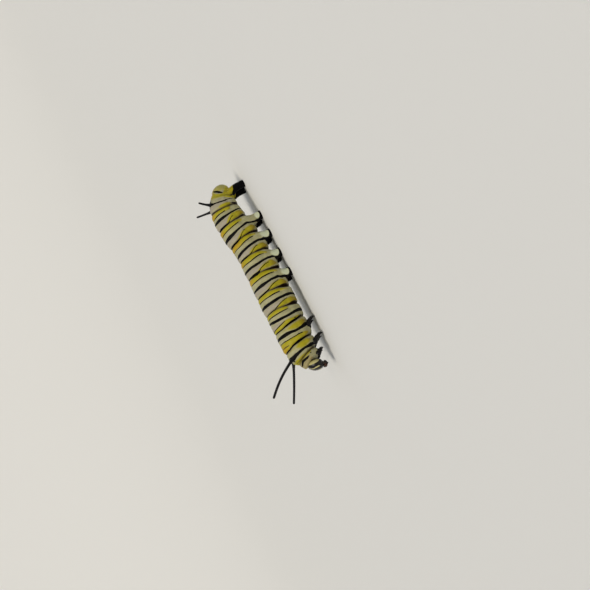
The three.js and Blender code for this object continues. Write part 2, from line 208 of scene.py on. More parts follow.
# %% [markdown]
# The trunk's skin is one piece on the real larva, so it is one mesh here: rings round the axis, joined by
# four-sided faces. A subdivision surface on a coarse cage would be lighter, but the folds and markings
# follow the rings, and with a ring every 0.09 mm each fold is real geometry. Every later piece is a loft
# of rings as well, so one function makes them all. It also lays each mesh out flat in a UV map, ring by
# ring.
# %% A loft of rings
def closed_body(count, sides):
    """Faces of rings with a fan of triangles at either end, and where their corners lie in a flat square."""
    low, high, cap = 0.03, 0.97, 0.015
    u_of, v_of = np.linspace(low, high, sides + 1), np.linspace(low + cap, high - cap, count)
    side = np.arange(sides)[:, None]
    rows, columns = np.arange(count - 1)[:, None, None] + [0, 0, 1, 1], side + [0, 1, 1, 0]
    faces = [(rows * sides + columns % sides).reshape(-1, 4)]
    corners = [np.stack(np.broadcast_arrays(u_of[columns], v_of[rows]), -1)]
    ends = ((0, [1, 0], low + cap, low), (count - 1, [0, 1], high - cap, high))
    for k, (ring, order, v_rim, v_tip) in enumerate(ends):
        columns = side + order
        tips = np.full((sides, 1), count * sides + k)
        faces.append(np.hstack([ring * sides + columns % sides, tips]))
        u = np.hstack([u_of[columns], u_of[columns].mean(1, keepdims=True)])
        corners.append(np.stack(np.broadcast_arrays(u, [v_rim, v_rim, v_tip]), -1))
    return faces, np.concatenate([part.reshape(-1, 2) for part in corners])


def new_mesh(name, points, faces, corners):
    """A smooth mesh from points in mm, with the place of each face's corners in the flat layout."""
    mesh = bpy.data.meshes.new(name)
    mesh.from_pydata((points * MM).tolist(), [], faces)
    mesh.shade_smooth()
    mesh.uv_layers.new(name="OFBake").data.foreach_set("uv", corners.reshape(-1).astype(np.float32))
    return mesh


def loft(name, bodies, **fields):
    """One piece from closed bodies, stacks of rings of points in mm. A field has a number per point."""
    points, faces, flat = [], [], []
    row = math.ceil(math.sqrt(len(bodies)))
    for k, rings in enumerate(bodies):
        groups, corners = closed_body(*rings.shape[:2])
        before = sum(len(p) for p in points)
        points.append(np.concatenate([rings.reshape(-1, 3), rings[[0, -1]].mean(1)]))
        faces += [face for group in groups for face in (group + before).tolist()]
        flat.append((corners + (k % row, k // row)) / row)
    mesh = new_mesh(name, np.concatenate(points), faces, np.concatenate(flat))
    for field_name, values in fields.items():
        whole = np.append(values, values[[0, -1]].mean(1)).astype(np.float32)
        mesh.attributes.new(field_name, "FLOAT", "POINT").data.foreach_set("value", whole)
    return put_in_scene(name, mesh)


def finish_piece(piece, material, slot, *nodes):
    """The piece gets its finish, rides with the body and stands for its nodes of the construction model."""
    piece.data.materials.append(material)
    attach(piece, "root")
    if nodes:
        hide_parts(*nodes)


# %% [markdown]
# Nothing on an animal is exact. A few long waves, added up with seeded phases, bend edges and folds a
# little, the same on every run.
# %% Small irregularities
def wobble(angle, seed):
    """A smooth wavy number round 0, mostly within 1, for each angle in radians."""
    phases = np.random.default_rng(seed).uniform(0, 2 * math.pi, 5)
    return sum(np.sin((k + 2) * 1.7 * angle + phase) / (k + 1.5) for k, phase in enumerate(phases)) / 1.3


# %% [markdown]
# The skin is worked out on one grid: a ring every 0.09 mm along the larva, and 184 points round each
# ring. Both the shape and the markings are numbers on this grid.
# %% The grid of the skin
RING_PITCH, SIDES = 0.088, 184
CLOSING_RINGS = 28  # these crowd together towards the very end of the tail
regular = np.arange(NECK_X, place("anal_segment", 0.1), RING_PITCH)
closing = np.sin(np.linspace(0, math.pi / 2, CLOSING_RINGS + 2)[1:-1])
xs = np.concatenate([regular, regular[-1] + (TAIL_X - regular[-1]) * closing])
around = np.linspace(0, 2 * math.pi, SIDES, endpoint=False)  # from the back down the left side, in radians
X, AROUND = np.meshgrid(xs, around, indexing="ij")
DOWN = np.degrees(np.abs((AROUND + math.pi) % (2 * math.pi) - math.pi))  # 0 at the back, 180 at the belly
LEFT = np.where(AROUND <= math.pi, 1.0, -1.0)
print("trunk rings:", len(xs), "of", SIDES, "points")

# %% [markdown]
# The markings are stripes: each has a centre line and a half width that change from the back down to the
# belly. For every point of the skin the distance into a stripe is worked out in millimetres and kept with
# the mesh. The finish only has to ask whether that distance is above zero, so edges stay sharp however
# near the camera comes. A painted image could not do that, and stripes made of texture waves could not
# fork as these do.
# %% Stripes as distances
FADED = -0.4  # a half width at which a stripe has ended
NEVER = -9.0  # a distance for points that a mark never reaches


def stripe(segment, seed, stops, wave=0.03):
    """Distance into a stripe. A stop: degrees from the back, mm behind the segment's start, half width."""
    downs, shifts, halves = zip(*stops)
    centre = place(segment, 0) + np.interp(DOWN, downs, shifts) + wave * wobble(AROUND, seed)
    half = np.interp(DOWN, downs, halves) * (1 + 0.13 * wobble(AROUND, seed + 500))
    return half - np.abs(X - centre)


def union(*fields):
    """One mark from several: the furthest that a point lies inside any of them."""
    return np.maximum.reduce(fields)


def stripes(rows):
    """The stripes of a table as one mark."""
    return union(*(stripe(*row) for row in rows))


# %% [markdown]
# Each segment of the abdomen has a broad black band a little ahead of its middle. On the real larva the
# bands bend tailward on their way down, and on the four segments with prolegs they turn forward again
# round the foot. In this table and the next ones a row is a segment, the seed of the stripe's waves, and
# its stops.
# %% Black bands
BANDS = [
    ("prothorax", 300, [(0, 0.74, 0.03), (15, 0.76, 0.07), (30, 0.9, 0.2), (45, 1.04, 0.32), (60, 1, 0.31),
        (75, 0.93, 0.27), (84, 0.95, 0.17), (93, 1.02, -0.02), (180, 1.1, -0.5)]),
    ("mesothorax", 301, [(0, 0.9, 0.22), (30, 0.9, 0.27), (60, 0.95, 0.22), (80, 1, 0.21), (95, 1.05, 0.23),
        (110, 1, 0.3), (122, 1.05, 0.42), (150, 1, 0.3), (180, 1, 0.2)]),
    ("metathorax", 302, [(0, 2.3, 0.19), (10, 2.3, 0.22), (30, 2.28, 0.3), (50, 2.3, 0.33), (66, 2.32, 0.35),
        (80, 2.3, 0.28), (92, 2.25, 0.26), (102, 2.32, 0.26), (115, 2.45, 0.29), (130, 2.75, 0.36),
        (150, 3, 0.3), (180, 3, 0.2)]),
    ("abdomen_1", 101, [(0, 2.1, 0.18), (14, 2.05, 0.2), (30, 1.85, 0.27), (60, 1.7, 0.29), (80, 1.7, 0.25),
        (90, 1.75, 0.24), (110, 1.9, 0.29), (140, 2.05, 0.28), (180, 2.05, 0.2)]),
    ("abdomen_2", 102, [(0, 1.48, 0.17), (20, 1.5, 0.21), (32, 1.52, 0.29), (60, 1.56, 0.34),
        (78, 1.64, 0.27), (92, 1.72, 0.24), (110, 1.77, 0.25), (122, 1.74, 0.29), (150, 1.75, 0.3),
        (180, 1.75, 0.2)]),
    ("abdomen_3", 103, [(0, 1.3, 0.14), (14, 1.32, 0.16), (30, 1.42, 0.26), (60, 1.52, 0.33),
        (76, 1.6, 0.25), (92, 1.73, 0.23), (118, 1.83, 0.24), (127, 1.5, 0.2), (134, 1.27, 0.15),
        (146, 1.12, 0.1), (180, 1.1, 0.1)]),
    ("abdomen_4", 104, [(0, 1.4, 0.14), (14, 1.41, 0.16), (35, 1.42, 0.26), (68, 1.47, 0.27),
        (80, 1.54, 0.22), (98, 1.69, 0.2), (119, 1.78, 0.22), (125, 1.68, 0.2), (131, 1.4, 0.17),
        (148, 1.12, 0.1), (180, 1.1, 0.1)]),
    ("abdomen_5", 105, [(0, 1.05, 0.2), (15, 1.07, 0.23), (30, 1.14, 0.29), (50, 1.37, 0.32),
        (66, 1.43, 0.29), (80, 1.57, 0.26), (96, 1.7, 0.22), (119, 1.82, 0.2), (126, 1.64, 0.19),
        (140, 1.36, 0.12), (180, 1.3, 0.1)]),
    ("abdomen_6", 106, [(0, 1.35, 0.24), (24, 1.39, 0.27), (40, 1.4, 0.31), (60, 1.46, 0.28),
        (78, 1.57, 0.22), (96, 1.73, 0.2), (119, 1.86, 0.2), (126, 1.68, 0.19), (145, 1.54, 0.12),
        (180, 1.5, 0.1)]),
    ("abdomen_7", 107, [(0, 1.6, 0.16), (15, 1.54, 0.19), (32, 1.46, 0.23), (62, 1.41, 0.22),
        (82, 1.44, 0.18), (104, 1.54, 0.16), (122, 1.63, 0.17), (145, 1.74, 0.12), (180, 1.75, 0.1)]),
    ("abdomen_8", 108, [(0, 1.05, 0.3), (28, 1, 0.27), (40, 0.89, 0.22), (50, 0.79, 0.15), (62, 0.68, 0.13),
        (84, 0.57, 0.15), (94, 0.58, 0.15), (110, 0.72, 0.1), (130, 0.76, 0.08), (146, 0.69, 0.05),
        (160, 0.69, -0.1), (180, 0.69, -0.5)]),
]
black = stripes(BANDS)

# %% [markdown]
# Between two bands runs a thin black line where the yellow starts, and a stronger one where it ends, in
# the fold between two segments. Halfway down the side the strong one turns tailward and thins out at the
# spiracle.
# %% Thin lines
CALM = 0.02  # mm by which a line that is drawn closely still waves
THIN_LINE_SPREAD = 0.018  # mm by which each line is wider on both sides than its stops say
THIN_LINES = [
    ("metathorax", 310, [(0, -0.5, 0.09), (40, -0.3, 0.11), (55, -0.1, 0.12), (68, 0.03, 0.16),
        (85, 0.2, 0.21), (100, 0.4, 0.19), (120, 0.65, 0.14), (145, 0.85, 0.04), (155, 0.9, FADED)]),
    ("metathorax", 311, [(0, 1.25, 0.05), (60, 1.27, 0.07), (80, 1.33, 0.07), (98, 1.45, 0.1),
        (110, 1.42, 0.08), (120, 1.35, FADED)], 0.05),
    ("abdomen_1", 312, [(0, -0.15, 0.1), (50, -0.14, 0.1), (60, -0.05, 0.11), (72, 0.12, 0.14),
        (90, 0.35, 0.19), (110, 0.6, 0.2), (122, 0.83, 0.16), (140, 1.07, 0.09), (155, 1.1, FADED)]),
    ("abdomen_1", 313, [(0, 0.33, 0.06), (30, 0.45, 0.08), (45, 0.6, 0.08), (60, 0.75, 0.07),
        (72, 0.97, 0.055), (82, 1.1, FADED)], CALM),
    ("abdomen_2", 314, [(0, 0.05, 0.05), (40, 0.1, 0.075), (58, 0.18, 0.075), (70, 0.4, 0.06),
        (100, 1, 0.06), (108, 1.14, 0.03), (112, 1.2, FADED)], CALM),
    ("abdomen_3", 315, [(0, -0.1, 0.09), (30, -0.1, 0.14), (46, -0.05, 0.13), (65, 0.15, 0.11),
        (75, 0.35, 0.07), (90, 0.8, 0.065), (102, 1.03, 0.07), (107, 1.1, 0.04), (111, 1.16, FADED)], CALM),
    ("abdomen_4", 316, [(0, -0.02, 0.11), (30, -0.06, 0.19), (58, -0.08, 0.27), (66, -0.02, 0.23),
        (73, 0.2, 0.09), (80, 0.46, 0.07), (97, 0.8, 0.07), (105, 0.88, 0.04), (109, 0.92, FADED)], CALM),
    ("abdomen_5", 317, [(0, -0.02, 0.1), (35, -0.03, 0.17), (52, 0, 0.19), (66, 0.05, 0.13), (78, 0.3, 0.07),
        (92, 0.78, 0.06), (100, 1, 0.05), (105, 1.1, FADED)], CALM),
    ("abdomen_6", 318, [(0, -0.12, 0.13), (30, -0.12, 0.2), (52, -0.1, 0.18), (65, 0.03, 0.13),
        (74, 0.22, 0.08), (86, 0.64, 0.06), (93, 0.8, 0.04), (98, 0.9, FADED)], CALM),
    ("abdomen_7", 319, [(0, 0.26, 0.11), (26, 0.22, 0.2), (48, 0.16, 0.19), (66, 0.16, 0.14),
        (73, 0.3, 0.08), (82, 0.55, 0.05), (89, 0.72, 0.03), (94, 0.8, FADED)], CALM),
    ("abdomen_1", 321, [(0, 2.85, 0.07), (70, 2.85, 0.09), (84, 2.87, 0.07), (100, 2.9, 0.03),
        (110, 2.9, FADED)]),
    ("abdomen_2", 322, [(0, 2.72, 0.07), (60, 2.73, 0.09), (80, 2.82, 0.085), (100, 2.82, 0.06),
        (114, 2.82, FADED)]),
    ("abdomen_3", 323, [(0, 2.67, 0.07), (40, 2.77, 0.1), (70, 2.92, 0.09), (96, 2.93, 0.08),
        (112, 2.85, 0.05), (120, 2.82, FADED)]),
    ("abdomen_4", 324, [(0, 2.6, 0.07), (60, 2.63, 0.1), (80, 2.82, 0.085), (96, 2.87, 0.08),
        (111, 2.87, 0.04), (120, 2.85, FADED)]),
    ("abdomen_5", 325, [(0, 2.5, 0.07), (50, 2.53, 0.09), (76, 2.73, 0.085), (100, 2.87, 0.075),
        (111, 2.85, 0.05), (120, 2.8, FADED)]),
    ("abdomen_6", 326, [(0, 2.69, 0.07), (60, 2.7, 0.085), (80, 2.75, 0.08), (98, 2.75, 0.05),
        (110, 2.75, FADED)]),
    ("abdomen_7", 327, [(0, 2.2, 0.05), (40, 2.22, 0.07), (80, 2.25, 0.06), (100, 2.25, FADED)]),
]
black = union(black, stripes(THIN_LINES) + THIN_LINE_SPREAD)

# %% [markdown]
# Low on the side the folds are painted dark reddish brown, partly their own colour and partly painted
# shade of the deep folds, and they open out into a painted shadow triangle over the belly. The fold behind
# the seventh segment of the abdomen keeps this colour all the way up.
# %% Brown folds with painted fold shade
BROWN_AND_SHADED_FOLDS = [
    ("mesothorax", 329, [(0, 0.1, 0.03), (60, 0.1, 0.05), (110, 0.15, 0.05), (125, 0.1, FADED)]),
    ("metathorax", 330, [(0, 0.3, 0.02), (20, 0.3, 0.06), (34, 0.32, 0.09), (50, 0.32, 0.07),
        (60, 0.3, FADED)]),
    ("abdomen_2", 331, [(0, 0, FADED), (76, 0.02, 0.02), (102, -0.05, 0.11), (110, -0.08, 0.2),
        (120, -0.1, 0.36), (145, -0.06, 0.4), (165, 0, 0.1)]),
    ("abdomen_3", 332, [(0, 0, FADED), (72, 0, 0.03), (88, 0, 0.09), (102, -0.02, 0.12), (112, -0.08, 0.24),
        (120, -0.16, 0.38), (135, -0.18, 0.4), (150, -0.1, 0.2), (170, 0, 0.05)]),
    ("abdomen_4", 333, [(0, 0, FADED), (76, -0.12, 0.03), (88, -0.17, 0.11), (106, -0.24, 0.17),
        (118, -0.33, 0.27), (130, -0.42, 0.38), (150, -0.36, 0.25), (170, -0.2, 0.05)]),
    ("abdomen_5", 334, [(0, 0, FADED), (78, 0.05, 0.03), (92, 0.1, 0.1), (118, 0.08, 0.13), (134, 0, 0.24),
        (150, -0.05, 0.22), (170, 0, 0.05)]),
    ("abdomen_6", 335, [(0, 0, FADED), (70, 0, 0.03), (84, 0.03, 0.1), (110, 0.02, 0.13), (120, -0.1, 0.22),
        (130, -0.2, 0.27), (150, -0.15, 0.24), (170, 0, 0.05)]),
    ("abdomen_7", 336, [(0, 0.1, FADED), (64, 0.13, 0.03), (80, 0.1, 0.11), (112, 0.04, 0.11),
        (135, 0.1, 0.14), (155, 0.1, 0.14), (175, 0, 0.05)]),
    ("abdomen_8", 337, [(0, -0.2, 0.1), (25, -0.38, 0.14), (45, -0.5, 0.12), (62, -0.57, 0.1),
        (82, -0.61, 0.08), (100, -0.61, 0.05), (110, -0.6, FADED)], CALM),
    ("abdomen_8", 338, [(0, 0, FADED), (112, -0.15, 0), (128, -0.15, 0.12), (150, -0.1, 0.16),
        (175, 0, 0.05)]),
    ("abdomen_9", 339, [(0, 0, 0.01), (60, -0.05, 0.02), (110, -0.1, 0.03), (140, -0.1, 0.1),
        (175, 0, 0.05)]),
]
# dark reddish brown folds: partly their own colour, partly painted shade of the deep folds
brown_and_fold_shade = stripes(BROWN_AND_SHADED_FOLDS)

# %% [markdown]
# Yellow fills the space between the two thin lines. Low on the side a second yellow patch lies behind
# each fold, where the side swells into a ridge. The tail end is yellow all round, low down almost orange,
# and its plate is a paler yellow, which only the soft edge of the mark reaches.
# %% Yellow
YELLOW = [
    ("mesothorax", 340, [(0, 0.12, 0.3), (90, 0.1, 0.29), (108, 0.13, 0.24), (124, 0.17, FADED)]),
    ("metathorax", 342, [(0, 0.35, 0.85), (40, 0.5, 0.75), (60, 0.6, 0.65), (80, 0.8, 0.5),
        (100, 1.02, 0.45), (116, 1.2, 0.4), (130, 1.3, 0.15), (140, 1.3, FADED)]),
    ("abdomen_1", 344, [(0, 0.1, 0.27), (40, 0.2, 0.33), (60, 0.35, 0.36), (76, 0.65, 0.4), (90, 0.75, 0.36),
        (106, 0.9, 0.25), (124, 1.05, 0.1), (134, 1.1, FADED)]),
    ("abdomen_1", 345, [(0, 3.3, 0.36), (60, 3.28, 0.36), (80, 3.25, 0.3), (98, 3.2, 0.22),
        (112, 3.15, FADED)]),
    ("abdomen_2", 346, [(0, 0.2, FADED), (60, 0.2, 0), (76, 0.35, 0.22), (88, 0.5, 0.4), (102, 0.62, 0.52),
        (126, 0.6, 0.52), (148, 0.55, 0.35), (160, 0.5, FADED)]),
    ("abdomen_2", 347, [(0, 3.2, 0.42), (70, 3.2, 0.42), (84, 3.2, 0.34), (104, 3.15, 0.25),
        (118, 2.95, 0.1), (130, 2.75, 0.02), (140, 2.7, FADED)]),
    ("abdomen_3", 348, [(0, 0.2, FADED), (64, 0.2, 0.02), (78, 0.4, 0.28), (90, 0.56, 0.43),
        (106, 0.67, 0.52), (122, 0.64, 0.55), (138, 0.56, 0.36), (150, 0.5, FADED)]),
    ("abdomen_3", 349, [(0, 3.3, 0.5), (60, 3.35, 0.5), (82, 3.4, 0.42), (102, 3.35, 0.33),
        (114, 3.15, 0.22), (126, 2.85, 0.08), (138, 2.6, FADED)]),
    ("abdomen_4", 350, [(0, 0.2, FADED), (64, 0.15, 0.05), (77, 0.35, 0.3), (90, 0.52, 0.44),
        (106, 0.62, 0.52), (122, 0.68, 0.58), (140, 0.65, 0.36), (150, 0.5, FADED)]),
    ("abdomen_4", 351, [(0, 3.15, 0.5), (70, 3.2, 0.48), (90, 3.25, 0.4), (106, 3.25, 0.28),
        (118, 2.95, 0.16), (128, 2.75, 0.05), (138, 2.6, FADED)]),
    ("abdomen_5", 352, [(0, 0.2, FADED), (66, 0.15, 0.03), (79, 0.4, 0.3), (94, 0.57, 0.46),
        (116, 0.63, 0.56), (132, 0.66, 0.5), (146, 0.6, 0.15), (154, 0.6, FADED)]),
    ("abdomen_5", 353, [(0, 3.1, 0.55), (60, 3.13, 0.5), (82, 3.3, 0.4), (104, 3.3, 0.28), (118, 3.05, 0.15),
        (130, 2.8, 0.04), (140, 2.7, FADED)]),
    ("abdomen_6", 354, [(0, 0.1, FADED), (60, 0.1, 0.03), (76, 0.35, 0.3), (90, 0.52, 0.44),
        (108, 0.62, 0.51), (126, 0.67, 0.53), (140, 0.64, 0.26), (150, 0.6, FADED)]),
    ("abdomen_6", 355, [(0, 3.05, 0.45), (60, 3.07, 0.42), (92, 3.05, 0.38), (110, 2.95, 0.22),
        (122, 2.9, FADED)]),
    ("abdomen_7", 356, [(0, 0.3, FADED), (60, 0.25, 0.03), (78, 0.58, 0.33), (96, 0.74, 0.5),
        (118, 0.82, 0.55), (136, 0.76, 0.36), (150, 0.7, FADED)]),
    ("abdomen_7", 357, [(0, 2.65, 0.48), (100, 2.6, 0.38), (114, 2.6, FADED)]),
    ("abdomen_8", 358, [(0, -0.3, FADED), (62, -0.3, 0), (76, -0.27, 0.3), (96, -0.25, 0.34),
        (112, -0.2, 0.2), (124, -0.2, FADED)]),
    ("abdomen_9", 359, [(0, 0.6, 0.5), (20, 0.5, 0.55), (40, 0.25, 0.6), (60, 0, 0.55), (80, -0.12, 0.42),
        (96, -0.1, 0.4), (106, 0.3, 0.9), (118, 0.8, 1.6), (150, 0.8, 1.6), (180, 0.8, 1.2)]),
]
SOFT_YELLOW = [
    ("mesothorax", 341, [(0, 1.8, FADED), (66, 1.8, 0), (84, 1.84, 0.45), (100, 1.9, 0.62), (116, 2.1, 0.55),
        (130, 2.3, 0)]),
    ("metathorax", 343, [(0, 3.1, FADED), (64, 3.05, 0), (84, 3.05, 0.42), (100, 3.1, 0.62),
        (116, 3.3, 0.62), (130, 3.5, 0.4), (140, 3.6, 0)]),
]
SOFT_SHARE = 0.45  # a soft patch gains depth this much slower than a plain one, so its rim is pale
PLATE_TINT = 0.03  # how far into the yellow's edge the plate lies, in mm
YELLOW_SPREAD = 0.06  # mm by which the yellow runs on past the stops given here
tail_plate = np.minimum(stripe("anal_segment", 361, [(0, 1.2, 1.1), (180, 1.2, 1.1)]), PLATE_TINT)
yellow = union(stripes(YELLOW), SOFT_SHARE * stripes(SOFT_YELLOW), tail_plate)
yellow = np.where(yellow > PLATE_TINT, yellow + YELLOW_SPREAD, yellow)
print("share of the skin's points in yellow:", round(float((yellow > 0).mean()), 2))

# %% [markdown]
# The two main colours change over the larva. The yellow is warmer on the back, most of all over the hind
# half, and low at the tail end, and near the belly it is a darker, duller ochre, which is painted shade of
# the underside. The white is tan behind the head and a little lilac ahead of each black band.
# %% Tints, with painted shade near the belly
warm = union(
    0.55 * smooth(46, 16, DOWN) * smooth(place("abdomen_2", 0.5), place("abdomen_3", 0.8), X),
    0.6 * smooth(50, 20, DOWN) * bell(X - place("metathorax", 0), 0.7),
    0.6 * smooth(80, 50, DOWN) * bell(X - place("abdomen_5", 0.84), 0.8),
    0.12 * smooth(104, 120, DOWN) * smooth(place("abdomen_8", 0.9), place("abdomen_9", 0.5), X),
)
# painted shade: the yellow turns a darker ochre towards the belly
low_ochre = smooth(104, 132, DOWN) * (1 - smooth(place("abdomen_8", 0), place("abdomen_9", 0), X))
tan = 0.7 * smooth(place("mesothorax", 0.3), place("prothorax", 0.2), X) * smooth(104, 84, DOWN)
cool = union(*(bell(X - place(name, 0.2), 0.6) for name in NAMES if name.startswith("abdomen")))
cool *= 0.55 * smooth(135, 100, DOWN)
print("share of the skin's points with a warm tint:", round(float((warm > 0.1).mean()), 2))

# %% [markdown]
# Each ring is sunk where a fold crosses it. The deepest folds part the segments, and each follows the
# line that was drawn for it above. Lesser folds part each segment into bulges: one lies under the thin
# line, and the others go straight round.
# %% Folds
CREASE, CREASE_WIDTH = 0.4, 0.25  # how deep and wide the skin sinks between two segments, in mm
SHALLOW_CREASE = 0.45  # the last two are this much shallower
FOLD_WIDTH = 0.15
MAIN_FOLDS = [(0.16, 0.07), (0.31, 0.09), (0.53, 0.1), (0.87, 0.05)]  # share of the segment's length, depth
FOLDS = {
    "prothorax": [(0.36, 0.07), (0.72, 0.06)],
    "mesothorax": [(0.1, 0.06), (0.27, 0.08), (0.6, 0.09), (0.8, 0.05)],
    "metathorax": [(0.1, 0.06), (0.2, 0.06), (0.34, 0.12), (0.49, 0.07), (0.74, 0.09), (0.87, 0.05)],
    "abdomen_8": [(0.36, 0.06), (0.64, 0.09)],
    "abdomen_9": [(0.5, 0.04)],
    "anal_segment": [],
}
THIN_LINE_FOLD = 0.17
for n, share in enumerate((0.78, 0.735, 0.7, 0.725, 0.7, 0.765, 0.63), 1):
    FOLDS[f"abdomen_{n}"] = [*MAIN_FOLDS, (share, THIN_LINE_FOLD)]
CREASE_LINES = {  # degrees from the back, and how far behind its place the fold between two segments lies
    "mesothorax": [(0, -0.3), (60, 0), (110, 0.3)],
    "metathorax": [(0, -0.5), (40, -0.3), (68, 0.03), (85, 0.2), (100, 0.4), (120, 0.65), (145, 0.85)],
    "abdomen_1": [(0, -0.15), (50, -0.14), (72, 0.12), (90, 0.35), (110, 0.6), (140, 1.0)],
    "abdomen_2": [(0, 0.05), (58, 0.18), (80, 0.1), (100, -0.05), (120, -0.1), (150, 0)],
    "abdomen_3": [(0, -0.1), (46, -0.05), (65, 0.12), (80, 0.02), (100, -0.02), (120, -0.16), (150, -0.1)],
    "abdomen_4": [(0, -0.02), (58, -0.08), (80, -0.12), (100, -0.22), (130, -0.42), (150, -0.36)],
    "abdomen_5": [(0, -0.02), (66, 0.05), (92, 0.1), (120, 0.08), (150, -0.05)],
    "abdomen_6": [(0, -0.12), (52, -0.1), (66, 0.03), (110, 0.02), (130, -0.2), (150, -0.15)],
    "abdomen_7": [(0, 0.26), (26, 0.22), (48, 0.16), (66, 0.16), (80, 0.1), (112, 0.04), (135, 0.1)],
    "abdomen_8": [(0, -0.2), (25, -0.38), (45, -0.5), (62, -0.57), (100, -0.61), (150, -0.3)],
}


def groove(centre, depth, width):
    """A fold round the trunk with a sharp bottom and round shoulders."""
    return depth * np.exp(-((np.abs(X - centre) / width) ** 1.25))


def sunk():
    """How far each point of the trunk lies under its plain ring."""
    total = np.zeros_like(X)
    crease = CREASE * (1 + 0.5 * bell(DOWN - 135, 28)) * (1 - 0.3 * smooth(60, 0, DOWN))
    fading = 1 - 0.7 * smooth(105, 140, DOWN)
    for k, name in enumerate(NAMES):
        if k:
            downs, shifts = zip(*CREASE_LINES.get(name, [(0, 0)]))
            centre = STARTS[k] + np.interp(DOWN, downs, shifts) + 0.03 * wobble(AROUND, 20 + k)
            strength = SHALLOW_CREASE if name in ("abdomen_9", "anal_segment") else 1
            total += groove(centre, crease * strength, CREASE_WIDTH)
        for m, (share, depth) in enumerate(FOLDS[name]):
            centre = place(name, share) + 0.05 * wobble(AROUND, 60 + 7 * k + m)
            total += groove(centre, depth * fading, FOLD_WIDTH)
    return total


# %% [markdown]
# The side isn't flat between the folds. The yellow patches stand out like small pillows, the brown
# triangles lie in the shade of deep pockets, and low down runs a fleshy ridge with a groove above it. The
# belly is a little flat.
# %% Bulges
RIDGE_AT, GROOVE_AT = 124, 106  # degrees from the back
RIDGE_HEIGHT, GROOVE_DEPTH, PILLOW_HEIGHT, POCKET_DEPTH = 0.15, 0.06, 0.13, 0.3  # mm
BELLY_FLATNESS, LUMP_HEIGHT = 0.22, 0.03


def lobe(share, start, span):
    """A round bulge over a stretch of a segment, given as shares of the segment's length."""
    return np.abs(np.sin(math.pi * np.clip((share - start) / span, 0, 1))) ** 0.7


def swollen():
    """How far each point stands proud of its plain ring."""
    lobes = np.zeros_like(X)
    for k, length in enumerate(LENGTHS):
        share = (X - STARTS[k]) / length
        both = np.maximum(lobe(share, 0.02, 0.42), lobe(share, 0.44, 0.56))
        lobes += np.where((share >= 0) & (share < 1), both, 0)
    ridge = RIDGE_HEIGHT * bell(DOWN - RIDGE_AT, 13) * (0.35 + 0.65 * lobes)
    groove_above = GROOVE_DEPTH * bell(DOWN - GROOVE_AT, 6)
    pillow = PILLOW_HEIGHT * smooth(-0.05, 0.4, yellow) * smooth(70, 95, DOWN) * smooth(150, 125, DOWN)
    pocket = POCKET_DEPTH * smooth(0.02, 0.4, brown_and_fold_shade) * smooth(95, 118, DOWN)
    taper = smooth(NECK_X, NECK_X + 3, X) * (1 - smooth(place("abdomen_8", 0), TAIL_X, X))
    flat_belly = BELLY_FLATNESS * smooth(140, 178, DOWN)
    lumps = LUMP_HEIGHT * np.sin(1.9 * X + 3 * AROUND) * np.sin(2.3 * X - 5 * AROUND + 1)
    return taper * (ridge - groove_above + pillow - pocket) - flat_belly + lumps


# %% [markdown]
# Now the rings take their places: round the axis, at a right angle to it, closed to a roll at the neck
# and to a blunt end at the tail.
# %% Rings of the trunk
NECK_ROLL, TAIL_BLUNTNESS = 0.34, 2.4
COLLAR_SWEEP = 0.45  # how far the sides of the collar lie behind its top
axis, slope = through_stations(X, STATION_AXIS)
depth, _ = through_stations(X, STATION_DEPTH)
neck_share = np.clip((X - NECK_X) / NECK_ROLL, 0, 1)
tail_share = np.clip((X - regular[-1]) / (TAIL_X - regular[-1]), 0, 1)
tail_shrink = np.maximum(1 - tail_share**TAIL_BLUNTNESS, 0) ** (1 / TAIL_BLUNTNESS)
closed = (0.62 + 0.38 * np.sqrt(1 - (1 - neck_share) ** 2)) * tail_shrink
fold_depth = sunk()
proud = (swollen() - fold_depth) * tail_shrink
high = (depth / 2 * closed + proud) * np.cos(AROUND)
wide = (depth * WIDTH_TO_DEPTH / 2 * closed + proud) * np.sin(AROUND)
tilt = np.hypot(slope, 1)
swept_back = COLLAR_SWEEP * np.sin(AROUND) ** 2 * (1 - smooth(NECK_X, NECK_X + 1.5, X))
trunk = swing(X, swept_back - high * slope / tilt, -wide, axis + high / tilt)
print("deepest fold:", round(float(fold_depth.max()), 2), "mm")

# %% [markdown]
# The prolegs are drawn out of the same skin. Round each root a disc of the skin is pulled down to the
# floor: its middle becomes the flat sole, the next part the wall, and its edge stays where it was. That
# keeps the skin in one piece with no seam, which a separate stump joined by a boolean would not.
# %% Prolegs drawn out of the skin
SIDE_WORDS = (("left", 1), ("right", -1))
SHARES = [0, 0.27, 0.33, 0.42, 0.52, 0.62, 0.74, 1]  # of the disc: sole, ankle, then up the wall
RADII = np.array([0, 0.78, 0.97, 1.02, 1.0, 1.05, 1.16, 1.6])  # times the waist's radius
SHORT_WALL, LONG_WALL = [0, 0, 0.1, 0.36, 0.62, 0.92, 1.25], [0, 0, 0.1, 0.45, 0.95, 1.45, 2.0]
LEAST_DROP, LONG_DROP = 1.7, 2.2  # mm from the root to the floor: the least, and where the long wall begins
NARROWER = 0.92  # a stump's breadth across the larva, as a share of its length along it
PROLEGS = [
    dict(node=f"proleg_{n}", x=place(f"abdomen_{n}", share), lean=lean)
    | dict(disc=1.65, root_out=1.75, foot_out=1.55, waist=0.88)
    for n, share, lean in ((3, 0.5, 0.0), (4, 0.53, 0.2), (5, 0.6, 0.3), (6, 0.66, 0.45))
]
PROLEGS.append(
    dict(node="anal_proleg", x=place("anal_segment", -0.1), lean=0.05)
    | dict(disc=1.12, root_out=1.1, foot_out=1.3, waist=0.72)
)


